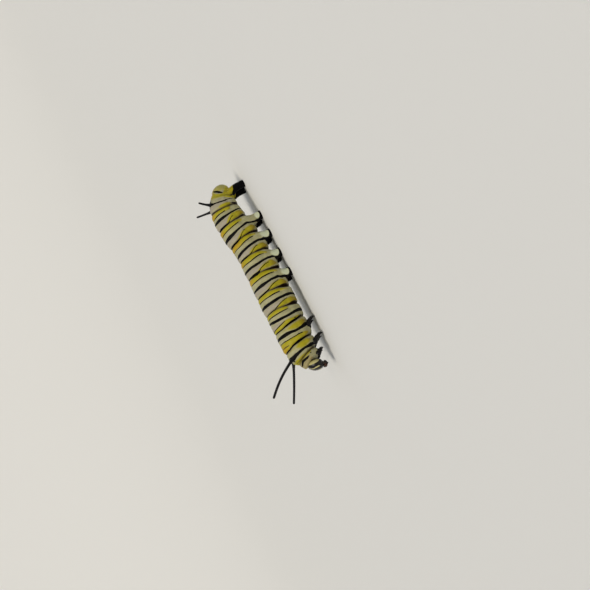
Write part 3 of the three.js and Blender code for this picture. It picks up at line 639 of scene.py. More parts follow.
def draw_out(points, leg, side):
    """Pulls the skin round one root down into a stump. Gives the new points, and the place on the stump."""
    axis_z, half, _ = trunk_at(leg["x"])
    root_angle = math.pi - math.asin(leg["root_out"] / (half * WIDTH_TO_DEPTH))
    drop = axis_z + half * math.cos(root_angle)
    along, outward = X - leg["x"], (root_angle - np.radians(DOWN)) * half
    share, facing = np.hypot(along, outward) / leg["disc"], np.arctan2(outward, along)
    here = (share < 1) & (LEFT == side)
    heights = [*LONG_WALL, drop] if drop > LONG_DROP else [*SHORT_WALL, max(LEAST_DROP, drop)]
    radius, height = np.interp(share, SHARES, RADII * leg["waist"]), np.interp(share, SHARES, heights)
    up = height / drop
    out = leg["foot_out"] + (leg["root_out"] - leg["foot_out"]) * up + NARROWER * radius * np.sin(facing)
    stump = swing(leg["x"], leg["lean"] * (1 - up) + radius * np.cos(facing), -side * out, height)
    blend = smooth(0.6, 1.0, share)[..., None]
    moved = np.where(here[..., None], stump * (1 - blend) + points * blend, points)
    return moved, here, height, facing


OFF_STUMP = 9.0  # stands for the height of a point that is on no stump
stump_height, stump_facing = np.full_like(X, OFF_STUMP), np.zeros_like(X)
on_anal_proleg = np.zeros_like(X, bool)
for leg in PROLEGS:
    for _, side in SIDE_WORDS:
        trunk, here, height, facing = draw_out(trunk, leg, side)
        stump_height = np.where(here, height, stump_height)
        stump_facing = np.where(here, facing, stump_facing)
        on_anal_proleg |= here & (leg["node"] == "anal_proleg")
print("lowest point of the skin:", round(float(trunk[..., 2].min()), 3), "mm")

# %% [markdown]
# The filaments grow from low mounds, and each jointed leg from a fleshy cone. Both are bumps on the same
# skin.
# %% Mounds under the filaments and legs
FILAMENT_ROOTS = {"front": (place("mesothorax", 0.42), 24.0), "rear": (place("abdomen_8", 0.48), 31.0)}
# a filament leans, so it leaves the skin a little beside the place under which it starts
FILAMENT_LEAVES = {"front": (-0.2, 1.5), "rear": (0.08, 0.5)}  # mm further back, degrees further down
LEGS = [  # mark is the radius of the black spot at the root
    dict(pair=1, x=place("prothorax", 0.5), root_out=1.15, reach=0.8, foot=1.2, spread=0.35, mark=0.36),
    dict(pair=2, x=place("mesothorax", 0.54), root_out=1.5, reach=1.3, foot=0.0, spread=0.55, mark=0.46),
    dict(pair=3, x=place("metathorax", 0.62), root_out=1.6, reach=1.3, foot=0.0, spread=0.5, mark=0.48),
]
FILAMENT_MARK_RADIUS = 0.36


def outward_of(points):
    """Unit vectors away from the trunk's axis."""
    return unit(points - swing(X, 0, 0, axis))


def mound(points, x, down, height, radius):
    """A low round bump on both sides, at an angle down from the back, and the distance from its middle."""
    reach = np.hypot(X - x, np.radians(DOWN - down) * depth / 2)
    return points + outward_of(points) * (height * bell(reach, radius))[..., None], reach


for end, root in FILAMENT_ROOTS.items():
    trunk, reach = mound(trunk, *np.add(root, FILAMENT_LEAVES[end]), 0.3, 0.42)
    black = union(black, FILAMENT_MARK_RADIUS - reach)
for leg in LEGS:
    down = 180 - math.degrees(math.asin(leg["root_out"] / trunk_at(leg["x"])[1]))
    trunk, reach = mound(trunk, leg["x"], down, 0.42, 0.5)
    black = union(black, leg["mark"] - reach)
print("skin points inside black:", int((black > 0).sum()))

# %% [markdown]
# On the last segment and the prolegs the black isn't a stripe round the trunk. The segment has a slanting
# bar below its plate. A proleg is black with one pale spot on its outer side, and above the black its
# wall is white, so the yellow stripes end there. These marks are distances as well, in heights on the
# stump.
# %% The anal bar and the prolegs
ANAL_BAR = ("anal_segment", 360, [(0, 0.5, FADED), (22, 0.4, -0.02), (32, 0.3, 0.07), (46, 0.18, 0.15),
    (60, 0.03, 0.2), (72, -0.14, 0.27), (82, -0.24, 0.24), (92, -0.37, 0.15), (102, -0.5, -0.02),
    (110, -0.6, FADED)], CALM)
YELLOW_ENDS_FROM, YELLOW_ENDS_AT = 2.1, 1.5  # heights on a proleg, in mm
SHOE_TOP, ANAL_SHOE_TOP = 1.34, 2.1  # how high the black reaches
SPOT_HEIGHT, SPOT_FACING, SPOT_HALF_HIGH, SPOT_HALF_WIDE = 0.9, 70, 0.5, 0.84
STUMP_RADIUS = 0.86  # turns the angle round a stump into a length
ROUND_SPOT = 0.3  # this far out from the spot the black follows its edge
on_stump = stump_height < OFF_STUMP
bare_stump = on_stump & ~on_anal_proleg
ending = 0.6 * smooth(YELLOW_ENDS_FROM, YELLOW_ENDS_AT, stump_height)
yellow = np.where(bare_stump, yellow - ending, yellow)
shoe_edge = SHOE_TOP - 0.3 * np.maximum(np.cos(stump_facing), 0)
anal_edge = ANAL_SHOE_TOP - 0.22 * np.cos(2 * (stump_facing - math.radians(SPOT_FACING)))
shoe_edge = np.where(on_anal_proleg, anal_edge + 0.08 * wobble(stump_facing, 7), shoe_edge)
black = union(black, stripe(*ANAL_BAR), np.where(on_stump, shoe_edge - stump_height, NEVER))
from_spot = STUMP_RADIUS * np.radians((np.degrees(stump_facing) - SPOT_FACING + 180) % 360 - 180)
reach = np.hypot(from_spot / SPOT_HALF_WIDE, (stump_height - SPOT_HEIGHT) / SPOT_HALF_HIGH)
spot = np.where(bare_stump, SPOT_HALF_HIGH * (1 - reach), NEVER)
black = np.where(spot > -ROUND_SPOT, np.minimum(black, -spot), black)
print("skin points inside the pale spots:", int((spot > 0).sum()))

# %% [markdown]
# Colours are given as a painter would mix them, in sRGB, and one function turns them to the linear
# numbers that a shader works with. Another small one adds a node with its settings and links, so that
# each finish reads as a list.
# %% Colours and nodes
def linear(hex_colour):
    """An sRGB hex colour as linear red, green, blue and alpha."""
    parts = [int(hex_colour[k : k + 2], 16) / 255 for k in (1, 3, 5)]
    return (*(p / 12.92 if p <= 0.04045 else ((p + 0.055) / 1.055) ** 2.4 for p in parts), 1.0)


def feed(node, inputs):
    """Sets each of these inputs, by name or number, to a value, or links it to the output that feeds it."""
    for name, value in inputs.items():
        if isinstance(value, bpy.types.NodeSocket):
            node.id_data.links.new(value, node.inputs[name])
        else:
            node.inputs[name].default_value = value


def add(tree, kind, inputs=None, output=0, **settings):
    """Adds a node with its settings and inputs, and gives one of its outputs."""
    node = tree.nodes.new(kind)
    for name, value in settings.items():
        setattr(node, name, value)
    feed(node, inputs or {})
    return node.outputs[output]


def new_material(name):
    """A material with a bare shader: the tree and its Principled node."""
    material = bpy.data.materials.new(name)
    material.use_nodes = True
    return material, material.node_tree, material.node_tree.nodes["Principled BSDF"]


# %% [markdown]
# Four patterns serve all the finishes: soft patches of a real size, a number kept with the mesh, the
# inside of a mark, and tints laid over one another.
# %% Patterns
def patches(tree, size_mm, detail=3.0):
    """A number round a half that changes softly over patches of this size."""
    where = add(tree, "ShaderNodeTexCoord", output="Object")
    sockets = {"Vector": where, "Scale": 1 / (size_mm * MM), "Detail": detail}
    return add(tree, "ShaderNodeTexNoise", sockets, output="Fac")


def field(tree, name):
    """A number kept with the mesh."""
    return add(tree, "ShaderNodeAttribute", output="Fac", attribute_name=name)


def inside(mark, edge, speckle):
    """1 within a mark and 0 outside, over an edge of this half width in mm that the speckle makes ragged."""
    tree, ragged = speckle.id_data, 0.1
    sockets = {0: speckle, 1: ragged, 2: field(tree, mark)}
    distance = add(tree, "ShaderNodeMath", sockets, operation="MULTIPLY_ADD")
    ramp = {"Value": distance, "From Min": ragged / 2 - edge, "From Max": ragged / 2 + edge}
    return add(tree, "ShaderNodeMapRange", ramp, interpolation_type="SMOOTHSTEP")


def mixed(factor, below, above):
    """The colour below where the factor is 0 and the one above where it is 1."""
    # a mix node has sockets for every kind of value: 6 and 7 are its colours, and they come out at 2
    return add(factor.id_data, "ShaderNodeMix", {0: factor, 6: below, 7: above}, 2, data_type="RGBA")


def tinted(colour, *tints):
    """Lays tints over a colour, each a factor and a hex colour."""
    for factor, tint in tints:
        colour = mixed(factor, colour, linear(tint))
    return colour


# %% [markdown]
# A larva's skin is thin flexible cuticle, chitin and protein over soft tissue: satin, a little
# translucent, and covered in ridges about 0.2 mm apart. The real colours lie in the cuticle (black) and
# under it (yellow and white), so the black has hard edges and the yellow soft ones. Flesh lets some light
# through, which subsurface scattering of a third of a millimetre gives.
# %% Finish of the skin
SOFT_EDGE, BROWN_SHADE_EDGE, PALE_EDGE, YELLOW_EDGE = 0.022, 0.06, 0.1, 0.2  # in mm
RIDGE_PITCH = 0.21  # mm between fine ridges that run along the body
BLOTCH, SPECKLE, GRAIN = 1 / 0.9, 0.28, 0.07  # sizes in mm

cuticle, tree, shader = new_material("larva_cuticle")
blotches, speckle, grain = patches(tree, BLOTCH), patches(tree, SPECKLE, 4.0), patches(tree, GRAIN)
flecks = {"Value": speckle, "From Min": 0.52, "From Max": 0.68, "To Max": 0.4}
lilac = add(tree, "ShaderNodeMapRange", flecks)
white = tinted(
    mixed(blotches, linear("#918e67"), linear("#b6b286")),
    (lilac, "#8f8276"),
    (field(tree, "cool"), "#9a8e8c"),
    (field(tree, "tan"), "#998858"),
    (inside("pale", PALE_EDGE, speckle), "#ced4b4"),
)
sulphur = tinted(
    mixed(blotches, linear("#948a08"), linear("#b1a615")),
    (field(tree, "warm"), "#b2860f"),
    # painted shade of the underside: darker ochre towards the belly
    (field(tree, "low_ochre"), "#97830f"),
)
black_mark = inside("black", SOFT_EDGE, speckle)
colour = tinted(
    mixed(inside("yellow", YELLOW_EDGE, speckle), white, sulphur),
    # painted shade: the deeper a fold, the darker brown the skin is painted there
    (field(tree, "hollow"), "#3f2e13"),
    # the low folds and belly triangles: partly their own brown, partly painted shade
    (inside("brown_and_fold_shade", BROWN_SHADE_EDGE, speckle), "#211006"),
    (black_mark, "#040304"),
)

# %% [markdown]
# The ridges are a sine of the way round the body, bent a little by the speckle, and the grain lies over
# them. Both are too fine to model, so a bump stands for them. The black is duller than the rest, as in
# the photograph.
# %% Relief and shine of the skin
bend = add(tree, "ShaderNodeMath", {0: speckle, 1: 7.0}, operation="MULTIPLY")
turns_round = {0: field(tree, "around_mm"), 1: 2 * math.pi / RIDGE_PITCH, 2: bend}
phase = add(tree, "ShaderNodeMath", turns_round, operation="MULTIPLY_ADD")
ridges = add(tree, "ShaderNodeMath", {0: phase}, operation="SINE")
relief = add(tree, "ShaderNodeMath", {0: ridges, 1: 0.35, 2: grain}, operation="MULTIPLY_ADD")
shine = add(tree, "ShaderNodeMapRange", {"Value": black_mark, "To Min": 0.3, "To Max": 0.08})
feed(shader, {
    "Base Color": colour,
    "Normal": add(tree, "ShaderNodeBump", {"Height": relief, "Strength": 0.42, "Distance": 0.035 * MM}),
    "Roughness": add(tree, "ShaderNodeMapRange", {"Value": speckle, "To Min": 0.38, "To Max": 0.58}),
    "Specular IOR Level": shine,
    "IOR": 1.45,
    "Subsurface Weight": 0.12,
    "Subsurface Radius": (1.0, 0.7, 0.3),
    "Subsurface Scale": 0.35 * MM,
})

# %% [markdown]
# Now the skin becomes one piece. All its marks go with it as numbers on its points, and it stands for
# every fleshy node of the trunk, so that the plain solids behind it are hidden.
# %% The skin as one piece
MEAN_RADIUS = 3.4  # of the trunk, in mm: it turns the angle round it into a length
HOLLOW_SHADE = 0.86  # how much of the painted shade's colour the deepest folds take
marks = dict(black=black, brown_and_fold_shade=brown_and_fold_shade, yellow=yellow, pale=spot)
marks.update(warm=warm, low_ochre=low_ochre, tan=tan, cool=cool)
# painted shade in the folds, taken from how deep each point lies
hollow = HOLLOW_SHADE * smooth(0.1, 0.42, fold_depth)
marks.update(hollow=hollow, around_mm=(AROUND - math.pi) * MEAN_RADIUS)
skin = loft("trunk_skin", [trunk], **marks)
feet = [f"{leg['node']}_{word}" for leg in PROLEGS for word, _ in SIDE_WORDS]
finish_piece(skin, cuticle, "skin", *NAMES, *feet)
print("skin faces:", len(skin.data.polygons))

# %% [markdown]
# The filaments are hollow soft feelers, held up by pressure. They are black all over, finely ringed, and
# end bluntly. A curve with a bevel would do, but a loft gives each ring its own radius, so the rings and
# the flare at the root are real. Their cuticle is dull, and its fine hairs catch a little bluish light at
# the edges.
# %% Filaments
FILAMENTS = {  # how far each runs back, to the right and up, in mm, how far it sags, and its radius
    "front_filament_left": ((-6.0, -5.4, 7.25), -0.45, 0.26),
    "front_filament_right": ((-6.6, 5.6, 3.0), 0.1, 0.25),
    "rear_filament_left": ((1.15, -1.8, 2.6), -0.1, 0.215),
    "rear_filament_right": ((0.8, 1.7, 3.5), -0.1, 0.215),
}
ROOT_SINK, ROUND_TIP, TIP_SHARE = 0.6, 0.3, 0.86  # mm, mm, and the thinner end's share of the radius
FLARE, FLARE_LENGTH, RING_DEPTH, RING_LENGTH = 0.2, 1.1, 0.035, 0.26


def on_trunk(x, down, side, grow):
    """A point on the plain trunk, without folds."""
    axis_z, half, slope = trunk_at(x)
    high = (half + grow) * math.cos(math.radians(down)) / math.hypot(slope, 1)
    wide = (half * WIDTH_TO_DEPTH + grow) * math.sin(math.radians(down))
    return swing(x, -high * slope, -side * wide, axis_z + high)


def tube(centres, radii, sides):
    """Rings round a line of centres, each at a right angle to it."""
    turns = np.linspace(0, 2 * math.pi, sides, endpoint=False)[:, None]
    across, rings = np.array([0.0, 1.0, 0.0]), []
    for k, centre in enumerate(centres):
        ahead = unit(centres[min(k + 1, len(centres) - 1)] - centres[max(k - 1, 0)])
        across = unit(across - ahead * (across @ ahead))
        rings.append(centre + radii[k] * (np.cos(turns) * across + np.sin(turns) * np.cross(ahead, across)))
    return np.array(rings)


velvet, tree, shader = new_material("filament_cuticle")
grain = patches(tree, GRAIN)
feed(shader, {
    "Base Color": mixed(grain, linear("#060608"), linear("#101015")),
    "Normal": add(tree, "ShaderNodeBump", {"Height": grain, "Strength": 0.5, "Distance": 0.03 * MM}),
    "Roughness": 0.5,
    "Specular IOR Level": 0.2,
    "Sheen Weight": 0.06,
    "Sheen Tint": linear("#8c93b4"),
})
for name, (run, sag, radius) in FILAMENTS.items():
    end, _, word = name.split("_")
    x, down = FILAMENT_ROOTS[end]
    length = np.linalg.norm(run)
    along = np.array(run) / length
    t = np.linspace(0, 1, int(length / 0.07))
    centres = on_trunk(x, down, dict(SIDE_WORDS)[word], -ROOT_SINK) + t[:, None] * run
    centres = centres + (sag * np.sin(math.pi * t))[:, None] * unit(along * along[2] - (0, 0, 1))
    ringed = 1 + RING_DEPTH * np.sin(2 * math.pi * t * length / RING_LENGTH)
    past = np.maximum(1 - (1 - t) * length / ROUND_TIP, 0)
    tip = np.sqrt(np.maximum(1 - past**2, 0.01))
    radii = (radius * (1 - (1 - TIP_SHARE) * t) * ringed + FLARE * bell(t * length, FLARE_LENGTH)) * tip
    finish_piece(loft(name + "_skin", [tube(centres, radii, 28)]), velvet, "filament_skin", name)
print("filaments:", len(FILAMENTS))

# %% [markdown]
# The head is a hard capsule of chitin, glossy and black with pale bands. It hangs down, so its face looks
# forward. A seam runs from its top down the middle and forks round the three-cornered front plate. The
# capsule is a loft of level rings, with the seam sunk into it.
# %% Head capsule
HEAD_X, HEAD_Z, HEAD_DEPTH, HEAD_HALF_WIDTH, HEAD_HALF_HEIGHT = -17.75, 3.6, 1.05, 1.7, 1.72
HEAD_LEAN = math.radians(16)
SEAM_DEPTH, SEAM_WIDTH, VALLEY_DEPTH, VALLEY_WIDTH = 0.1, 0.1, 0.09, 0.45
TURNS, RISES = 120, 84


def on_head(turn, rise, grow=0.0):
    """Points of the capsule, in the larva's frame and in the head's upright one. turn is 0 at the face."""
    level, up = np.cos(rise), np.sin(rise) + 0 * turn
    ways = np.stack([-level * np.cos(turn), -level * np.sin(turn), up], -1)
    off_middle = ways[..., 1] * HEAD_HALF_WIDTH
    seam = SEAM_DEPTH * bell(off_middle, SEAM_WIDTH) * smooth(0.1, 0.35, up)
    valley = VALLEY_DEPTH * bell(off_middle, VALLEY_WIDTH) * smooth(0.1, 0.7, up)
    jaw = 1 - 0.2 * smooth(0.2, 1.0, -up)
    scale = (1 - (seam + valley) / HEAD_HALF_HEIGHT) * jaw
    local = ways * (HEAD_DEPTH, HEAD_HALF_WIDTH, HEAD_HALF_HEIGHT) * scale[..., None] + grow * ways
    x = local[..., 0] * math.cos(HEAD_LEAN) + local[..., 2] * math.sin(HEAD_LEAN)
    z = local[..., 2] * math.cos(HEAD_LEAN) - local[..., 0] * math.sin(HEAD_LEAN)
    return np.stack([x + HEAD_X, local[..., 1], z + HEAD_Z], -1), local


rises = np.linspace(-math.pi / 2, math.pi / 2, RISES + 2)[1:-1]
RISE, TURN = np.meshgrid(rises, np.linspace(0, 2 * math.pi, TURNS, endpoint=False), indexing="ij")
capsule, local = on_head(TURN, RISE)
print("head height:", round(float(np.ptp(capsule[..., 2])), 2), "mm")

# %% [markdown]
# The head's marks are distances too. An outer band is an oval low on the cheek. An inner one forks down
# the face either side of the seam, and a small pale plate lies between the fork's ends.
# %% Bands of the head
CHEEK_BAND_BEHIND, CHEEK_BAND_UP, CHEEK_HALF_WIDE, CHEEK_HALF_HIGH = 0.42, 0.42, 0.34, 1.05
behind = capsule[..., 0] - HEAD_X - CHEEK_BAND_BEHIND
above = capsule[..., 2] - HEAD_Z - CHEEK_BAND_UP
outer = CHEEK_HALF_WIDE * (1 - np.hypot(behind / CHEEK_HALF_WIDE, above / CHEEK_HALF_HIGH))
off_middle, high_up = np.abs(local[..., 1]), local[..., 2]
fork = np.interp(high_up, [-0.9, -0.16, 0.36, 0.88, 1.3, 1.6], [1.3, 1.36, 1.15, 0.6, 0.28, 0.2])
fork_half = np.interp(high_up, [-0.8, -0.5, 0.0, 0.9, 1.35, 1.55], [-0.1, 0.04, 0.13, 0.15, 0.09, -0.1])
plate = np.interp(high_up, [-0.85, -0.68, 0.15], [-0.1, 0.42, -0.06]) - off_middle
face_marks = np.maximum(fork_half - np.abs(off_middle - fork), np.minimum(plate, 0.12))
on_face = np.cos(TURN) > math.cos(math.radians(80))
pale_bands = np.maximum(outer, np.where(on_face, face_marks, NEVER))

chitin, tree, shader = new_material("head_chitin")
speckle = patches(tree, 0.2, 4.0)
cream = mixed(speckle, linear("#a9a057"), linear("#cfc894"))
pits = patches(tree, 1 / 9, 2.0)
feed(shader, {
    "Base Color": mixed(inside("pale", 0.03, speckle), linear("#080708"), cream),
    "Normal": add(tree, "ShaderNodeBump", {"Height": pits, "Strength": 0.35, "Distance": 0.03 * MM}),
    "Roughness": 0.3,
    "Specular IOR Level": 0.3,
    "IOR": 1.56,
})
finish_piece(loft("head_shell", [capsule], pale=pale_bands), chitin, "head_capsule", "head")

# %% [markdown]
# Below the capsule sit the mouthparts: a notched upper lip, a pair of biting jaws, and behind them the
# fleshy lower lip with its feelers and the spinneret that gives silk. They are small round forms, so each
# is a squashed ball of rings, bent by a few lines of its own.
# %% Mouthparts
def ball(centre, sizes, shape=None, sides=28, count=18):
    """Level rings of a squashed ball; shape may move its points, given from -1 to 1, first."""
    rise = np.linspace(-math.pi / 2, math.pi / 2, count + 2)[1:-1, None]
    turn = np.linspace(0, 2 * math.pi, sides, endpoint=False)[None]
    level = np.cos(rise)
    points = np.stack(np.broadcast_arrays(level * np.cos(turn), -level * np.sin(turn), np.sin(rise)), -1)
    return (shape(points) if shape else points) * sizes + np.asarray(centre)


def cone(start, end, thick, thin, sides=14, bend=(0, 0, 0), beads=1):
    """Rings of a tapering limb with a round tip. With beads above 1 it is jointed."""
    t = np.linspace(0, 1, 8 * beads + 6)
    start, end, bend = (np.asarray(v, float) for v in (start, end, bend))
    centres = start + t[:, None] * (end - start) + np.sin(math.pi * t)[:, None] * bend
    joints = 1 - 0.2 * np.abs(np.cos(math.pi * beads * t)) ** 6 * (beads > 1)
    tip = np.sqrt(np.clip(1 - ((t - 0.88) / 0.125).clip(0, 1) ** 2, 0.02, 1))
    return tube(centres, (thick + (thin - thick) * t) * joints * tip, sides)


def notched(p):
    """The upper lip: flat, with two lobes at its lower edge."""
    notch = 0.45 * bell(p[..., 1], 0.28) * smooth(0.2, -0.6, p[..., 2])
    return p - notch[..., None] * p * (0, 0, 1)


def toothed(p):
    """A jaw: narrow in front and below, with four blunt teeth on its edge."""
    edge = smooth(0.0, -0.9, p[..., 2])
    teeth = 0.12 * edge * np.abs(np.sin(4.5 * p[..., 1] + 0.5))
    return p * np.stack([1 - 0.5 * edge, 1 - 0.2 * edge, 1 - teeth], -1)


mouth_parts = [
    ball((-18.62, 0, 2.3), (0.3, 0.6, 0.33), notched),
    ball((-18.1, 0, 2.0), (0.46, 0.56, 0.36)),
    cone((-18.3, 0, 1.85), (-18.2, 0, 1.5), 0.12, 0.05),
]
jaws = []
for _, side in SIDE_WORDS:
    jaws.append(ball((-18.52, -side * 0.42, 2.06), (0.36, 0.38, 0.36), toothed))
    mouth_parts += [
        ball((-18.12, -side * 0.52, 2.05), (0.36, 0.26, 0.3)),
        cone((-18.3, -side * 0.5, 1.95), (-18.5, -side * 0.55, 1.62), 0.13, 0.06, beads=3),
        cone((-18.3, -side * 0.18, 1.85), (-18.36, -side * 0.2, 1.62), 0.07, 0.04, beads=2),
    ]


def glossy_chitin(name, dark, light, roughness, patch_mm):
    """Hard dark cuticle, mottled between two colours over patches of this size."""
    material, tree, shader = new_material(name)
    mottle = patches(tree, patch_mm)
    shade = add(tree, "ShaderNodeMapRange", {"Value": mottle, "From Min": 0.4, "From Max": 0.65})
    feed(shader, {
        "Base Color": mixed(shade, linear(dark), linear(light)),
        "Normal": add(tree, "ShaderNodeBump", {"Height": mottle, "Strength": 0.3, "Distance": 0.02 * MM}),
        "Roughness": roughness,
        "Specular IOR Level": 0.15,
        "IOR": 1.56,
    })
    return material


jaw_chitin = glossy_chitin("jaw_chitin", "#1a0b06", "#5c2a12", 0.25, 0.3)
palp_skin = glossy_chitin("palp_cuticle", "#0c0a0a", "#463c33", 0.42, 0.35)
finish_piece(loft("mouthparts", mouth_parts), palp_skin, "head_capsule")
finish_piece(loft("jaws", jaws), jaw_chitin, "head_capsule")
print("mouthparts:", len(mouth_parts) + len(jaws))

# %% [markdown]
# Six single lenses sit in an arc low on each cheek. A larva has no compound eyes. They are little domes
# of clear dark cuticle, so they are as glossy as wet glass.
# %% Single eyes
EYES_PER_SIDE, EYE_RADIUS = 6, 0.1
eye_domes = []
for _, side in SIDE_WORDS:
    for k in range(EYES_PER_SIDE):
        is_last = k == EYES_PER_SIDE - 1  # it stands apart, inside the arc of the others
        along = k * math.pi / 3.4
        turn = math.radians(52 + 13 * math.cos(along) - 14 * is_last)
        rise = math.radians(-26 + 13 * math.sin(along) - 4 * is_last)
        eye_domes.append(ball(on_head(side * turn, rise)[0], (EYE_RADIUS,) * 3, sides=18, count=11))
lens = glossy_chitin("lens_cuticle", "#050304", "#1e0f08", 0.06, 0.1)
finish_piece(loft("single_eyes", eye_domes), lens, "head_capsule")
print("single eyes:", len(eye_domes))

# %% [markdown]
# The feelers are stubs of three joints: a pale soft socket, a long second joint, and a tip with a
# bristle. The CAD solid behind each is a plain cone between the same two points.
# %% Antennae
ANTENNA_ROOT, ANTENNA_RUN = (-18.0, 0.95, 2.75), (-0.55, 0.15, -1.0)  # ahead, out to the side, up
for word, side in SIDE_WORDS:
    root, run = np.multiply(ANTENNA_ROOT, (1, -side, 1)), np.multiply(ANTENNA_RUN, (1, -side, 1))
    joints = [
        cone(root + 0.05 * run, root + 0.5 * run, 0.25, 0.2, 18),
        cone(root + 0.42 * run, root + 0.82 * run, 0.16, 0.13, 18),
        cone(root + 0.78 * run, root + 0.97 * run, 0.1, 0.06, 14),
        cone(root + 0.8 * run, root + 1.2 * run, 0.03, 0.012, 8),
    ]
    finish_piece(loft(f"antenna_{word}_joints", joints), palp_skin, "hard_limbs", f"antenna_{word}")
print("joints of an antenna, with its bristle:", len(joints))

# %% [markdown]
# Each true leg has five joints, coxa to claw, in hard black cuticle. The leg's bent line comes from the
# construction model, and each joint is a loft along a stretch of it, waisted where it meets the next one.
# %% Jointed legs
# each joint: where it starts and ends along the leg, and its radius at either end in mm
LEG_JOINTS = [
    (0.0, 0.3, 0.55, 0.47), (0.27, 0.53, 0.45, 0.37), (0.5, 0.75, 0.36, 0.27), (0.72, 0.91, 0.25, 0.17),
]
CLAW_FROM, CLAW_TO, CLAW_RADIUS, CLAW_HOOK = 0.88, 0.995, 0.1, 0.12
limb_chitin = glossy_chitin("limb_chitin", "#070608", "#15110f", 0.34, 0.25)


def leg_line(leg, side, t):
    """Points along the leg's bent middle line, root to claw, in millimetres."""
    axis_z, half, _ = trunk_at(leg["x"])
    root_z = axis_z - 0.72 * half
    outward = leg["root_out"] + leg["spread"] * np.sin(math.pi * np.minimum(1, 1.15 * t))
    ahead = leg["x"] + leg["reach"] * np.sin(math.pi / 2 * t)
    return np.stack([ahead, -side * outward, root_z + (leg["foot"] - root_z) * t], -1)


def leg_joints(leg, side):
    """The four waisted joints of a leg and its hooked claw."""
    s = np.linspace(0, 1, 22)
    waisted = 0.86 + 0.16 * np.sin(math.pi * s) ** 0.6
    rounded = np.sqrt(np.clip(1 - (np.abs(2 * s - 1) ** 7), 0.03, 1))
    made = []
    for start, end, thick, thin in LEG_JOINTS:
        radii = (thick + (thin - thick) * s) * waisted * rounded
        made.append(tube(leg_line(leg, side, start + (end - start) * s), radii, 24))
    t = np.linspace(0, 1, 14)
    claw = leg_line(leg, side, CLAW_FROM + (CLAW_TO - CLAW_FROM) * t)
    claw[:, 0] -= CLAW_HOOK * np.sin(math.pi * t)
    return [*made, tube(claw, CLAW_RADIUS + (0.02 - CLAW_RADIUS) * t, 12)]


for leg in LEGS:
    for word, side in SIDE_WORDS:
        node = f"leg_{leg['pair']}_{word}"
        finish_piece(loft(f"{node}_joints", leg_joints(leg, side)), limb_chitin, "hard_limbs", node)
print("true legs:", 2 * len(LEGS))

# %% [markdown]
# Small things sit square on the skin, so a helper finds the nearest point of the trunk's mesh, and the
# direction out of the skin there. Spiracles, the holes a larva breathes through, are black ovals with a
# raised rim, one a side on the first thoracic and the first eight segments of the abdomen.
# %% Spiracles
skin_along = np.gradient(trunk, axis=0)
skin_out = unit(np.cross(np.gradient(trunk, axis=1), skin_along))
skin_out *= np.sign(np.sum(skin_out * outward_of(trunk), -1, keepdims=True))


def on_skin(x, down, side):
    """The trunk's point nearest to a place, with unit vectors out of the skin and along it."""
    k = int(np.argmin(np.abs(xs - x)))
    j = int(np.argmin(np.abs(around - math.radians(down * side) % (2 * math.pi))))
    out = skin_out[k, j]
    return trunk[k, j], out, unit(skin_along[k, j] - out * (out @ skin_along[k, j]))


SPIRACLE_HALF_WIDE, SPIRACLE_HALF_HIGH = 0.07, 0.13
# from outside to inside: share of the half widths, and mm over the skin
RIM = [(1.35, -0.05), (1.2, 0.04), (1.0, 0.07), (0.82, 0.06), (0.6, 0.035), (0.25, 0.02)]
SPIRACLE_PLACES = {  # mm behind the segment's start, degrees from the back
    "prothorax": (1.2, 104), "abdomen_1": (0.9, 108), "abdomen_2": (1.16, 110), "abdomen_3": (1.12, 109),
    "abdomen_4": (0.9, 107), "abdomen_5": (1.05, 104), "abdomen_6": (0.83, 96), "abdomen_7": (0.75, 92),
    "abdomen_8": (0.5, 98),
}
turns = np.linspace(0, 2 * math.pi, 24, endpoint=False)[:, None]
rims = []
for segment, (shift, down) in SPIRACLE_PLACES.items():
    for _, side in SIDE_WORDS:
        at, out, along = on_skin(place(segment, 0) + shift, down, side)
        oval = SPIRACLE_HALF_WIDE * np.cos(turns) * along
        oval = oval + SPIRACLE_HALF_HIGH * np.sin(turns) * np.cross(out, along)
        rims.append(np.array([at + size * oval + height * out for size, height in RIM]))
finish_piece(loft("spiracles", rims), limb_chitin, "skin")
print("spiracles:", len(rims))

# %% [markdown]
# Under each proleg a half circle of brown hooks, the crochets, holds on to silk. They are tiny, and the
# sole hides most of them, so each is only a bent cone on the inner edge of the sole.
# %% Crochets
HOOKS_A_FOOT, HOOK_LENGTH, HOOK_RADIUS = 17, 0.16, 0.022
HOOKS_FROM = 0.72  # times the waist's radius, from the middle of the sole
hooks = []
for leg in PROLEGS:
    for _, side in SIDE_WORDS:
        foot = swing(leg["x"], leg["lean"], -side * leg["foot_out"], 0.05)
        for turn in np.radians(np.linspace(-75, 75, HOOKS_A_FOOT)):
            inward = np.array([math.sin(turn), side * math.cos(turn), 0])
            start = foot + HOOKS_FROM * leg["waist"] * inward * (1, NARROWER, 1)
            end = start + HOOK_LENGTH * inward + (0, 0, -0.03)
            hooks.append(cone(start, end, HOOK_RADIUS, 0.008, 6, bend=(0, 0, 0.05)))
hook_chitin = glossy_chitin("hook_chitin", "#2a1408", "#5e3413", 0.3, 0.1)
finish_piece(loft("crochets", hooks), hook_chitin, "proleg_skin")
print("crochets:", len(hooks))

# %% [markdown]
# A monarch larva looks bare, but short fine bristles, the setae, stand all over it, thicker on the head,
# the plate at the tail and the feet. A hair system would be quicker to comb, but these have to be solid
# to be printed and exported, so each is a thin cone of three sides whose colour comes from one small
# patch of the flat layout.
# %% Setae
SETAE_ON_SKIN, SETAE_ON_HEAD = 1100, 120
SHORT_SETA, LONG_SETA, HEAD_SETA, SETA_RADIUS = 0.11, 0.2, 0.22, 0.01  # mm
SETA_PATCH = 0.003  # of the flat layout
rng = np.random.default_rng(71)
roots, ways, patch_places = [], [], []


def grow_seta(at, out, along, length, patch_place):
    """Notes one bristle: it leans a little to a random side."""
    lean = rng.normal(0, 0.22, 2)
    roots.append(at - 0.03 * out)
    way = unit(out + lean[0] * along + lean[1] * np.cross(out, along))
    ways.append(way * length * rng.uniform(0.7, 1.3))
    patch_places.append(patch_place)


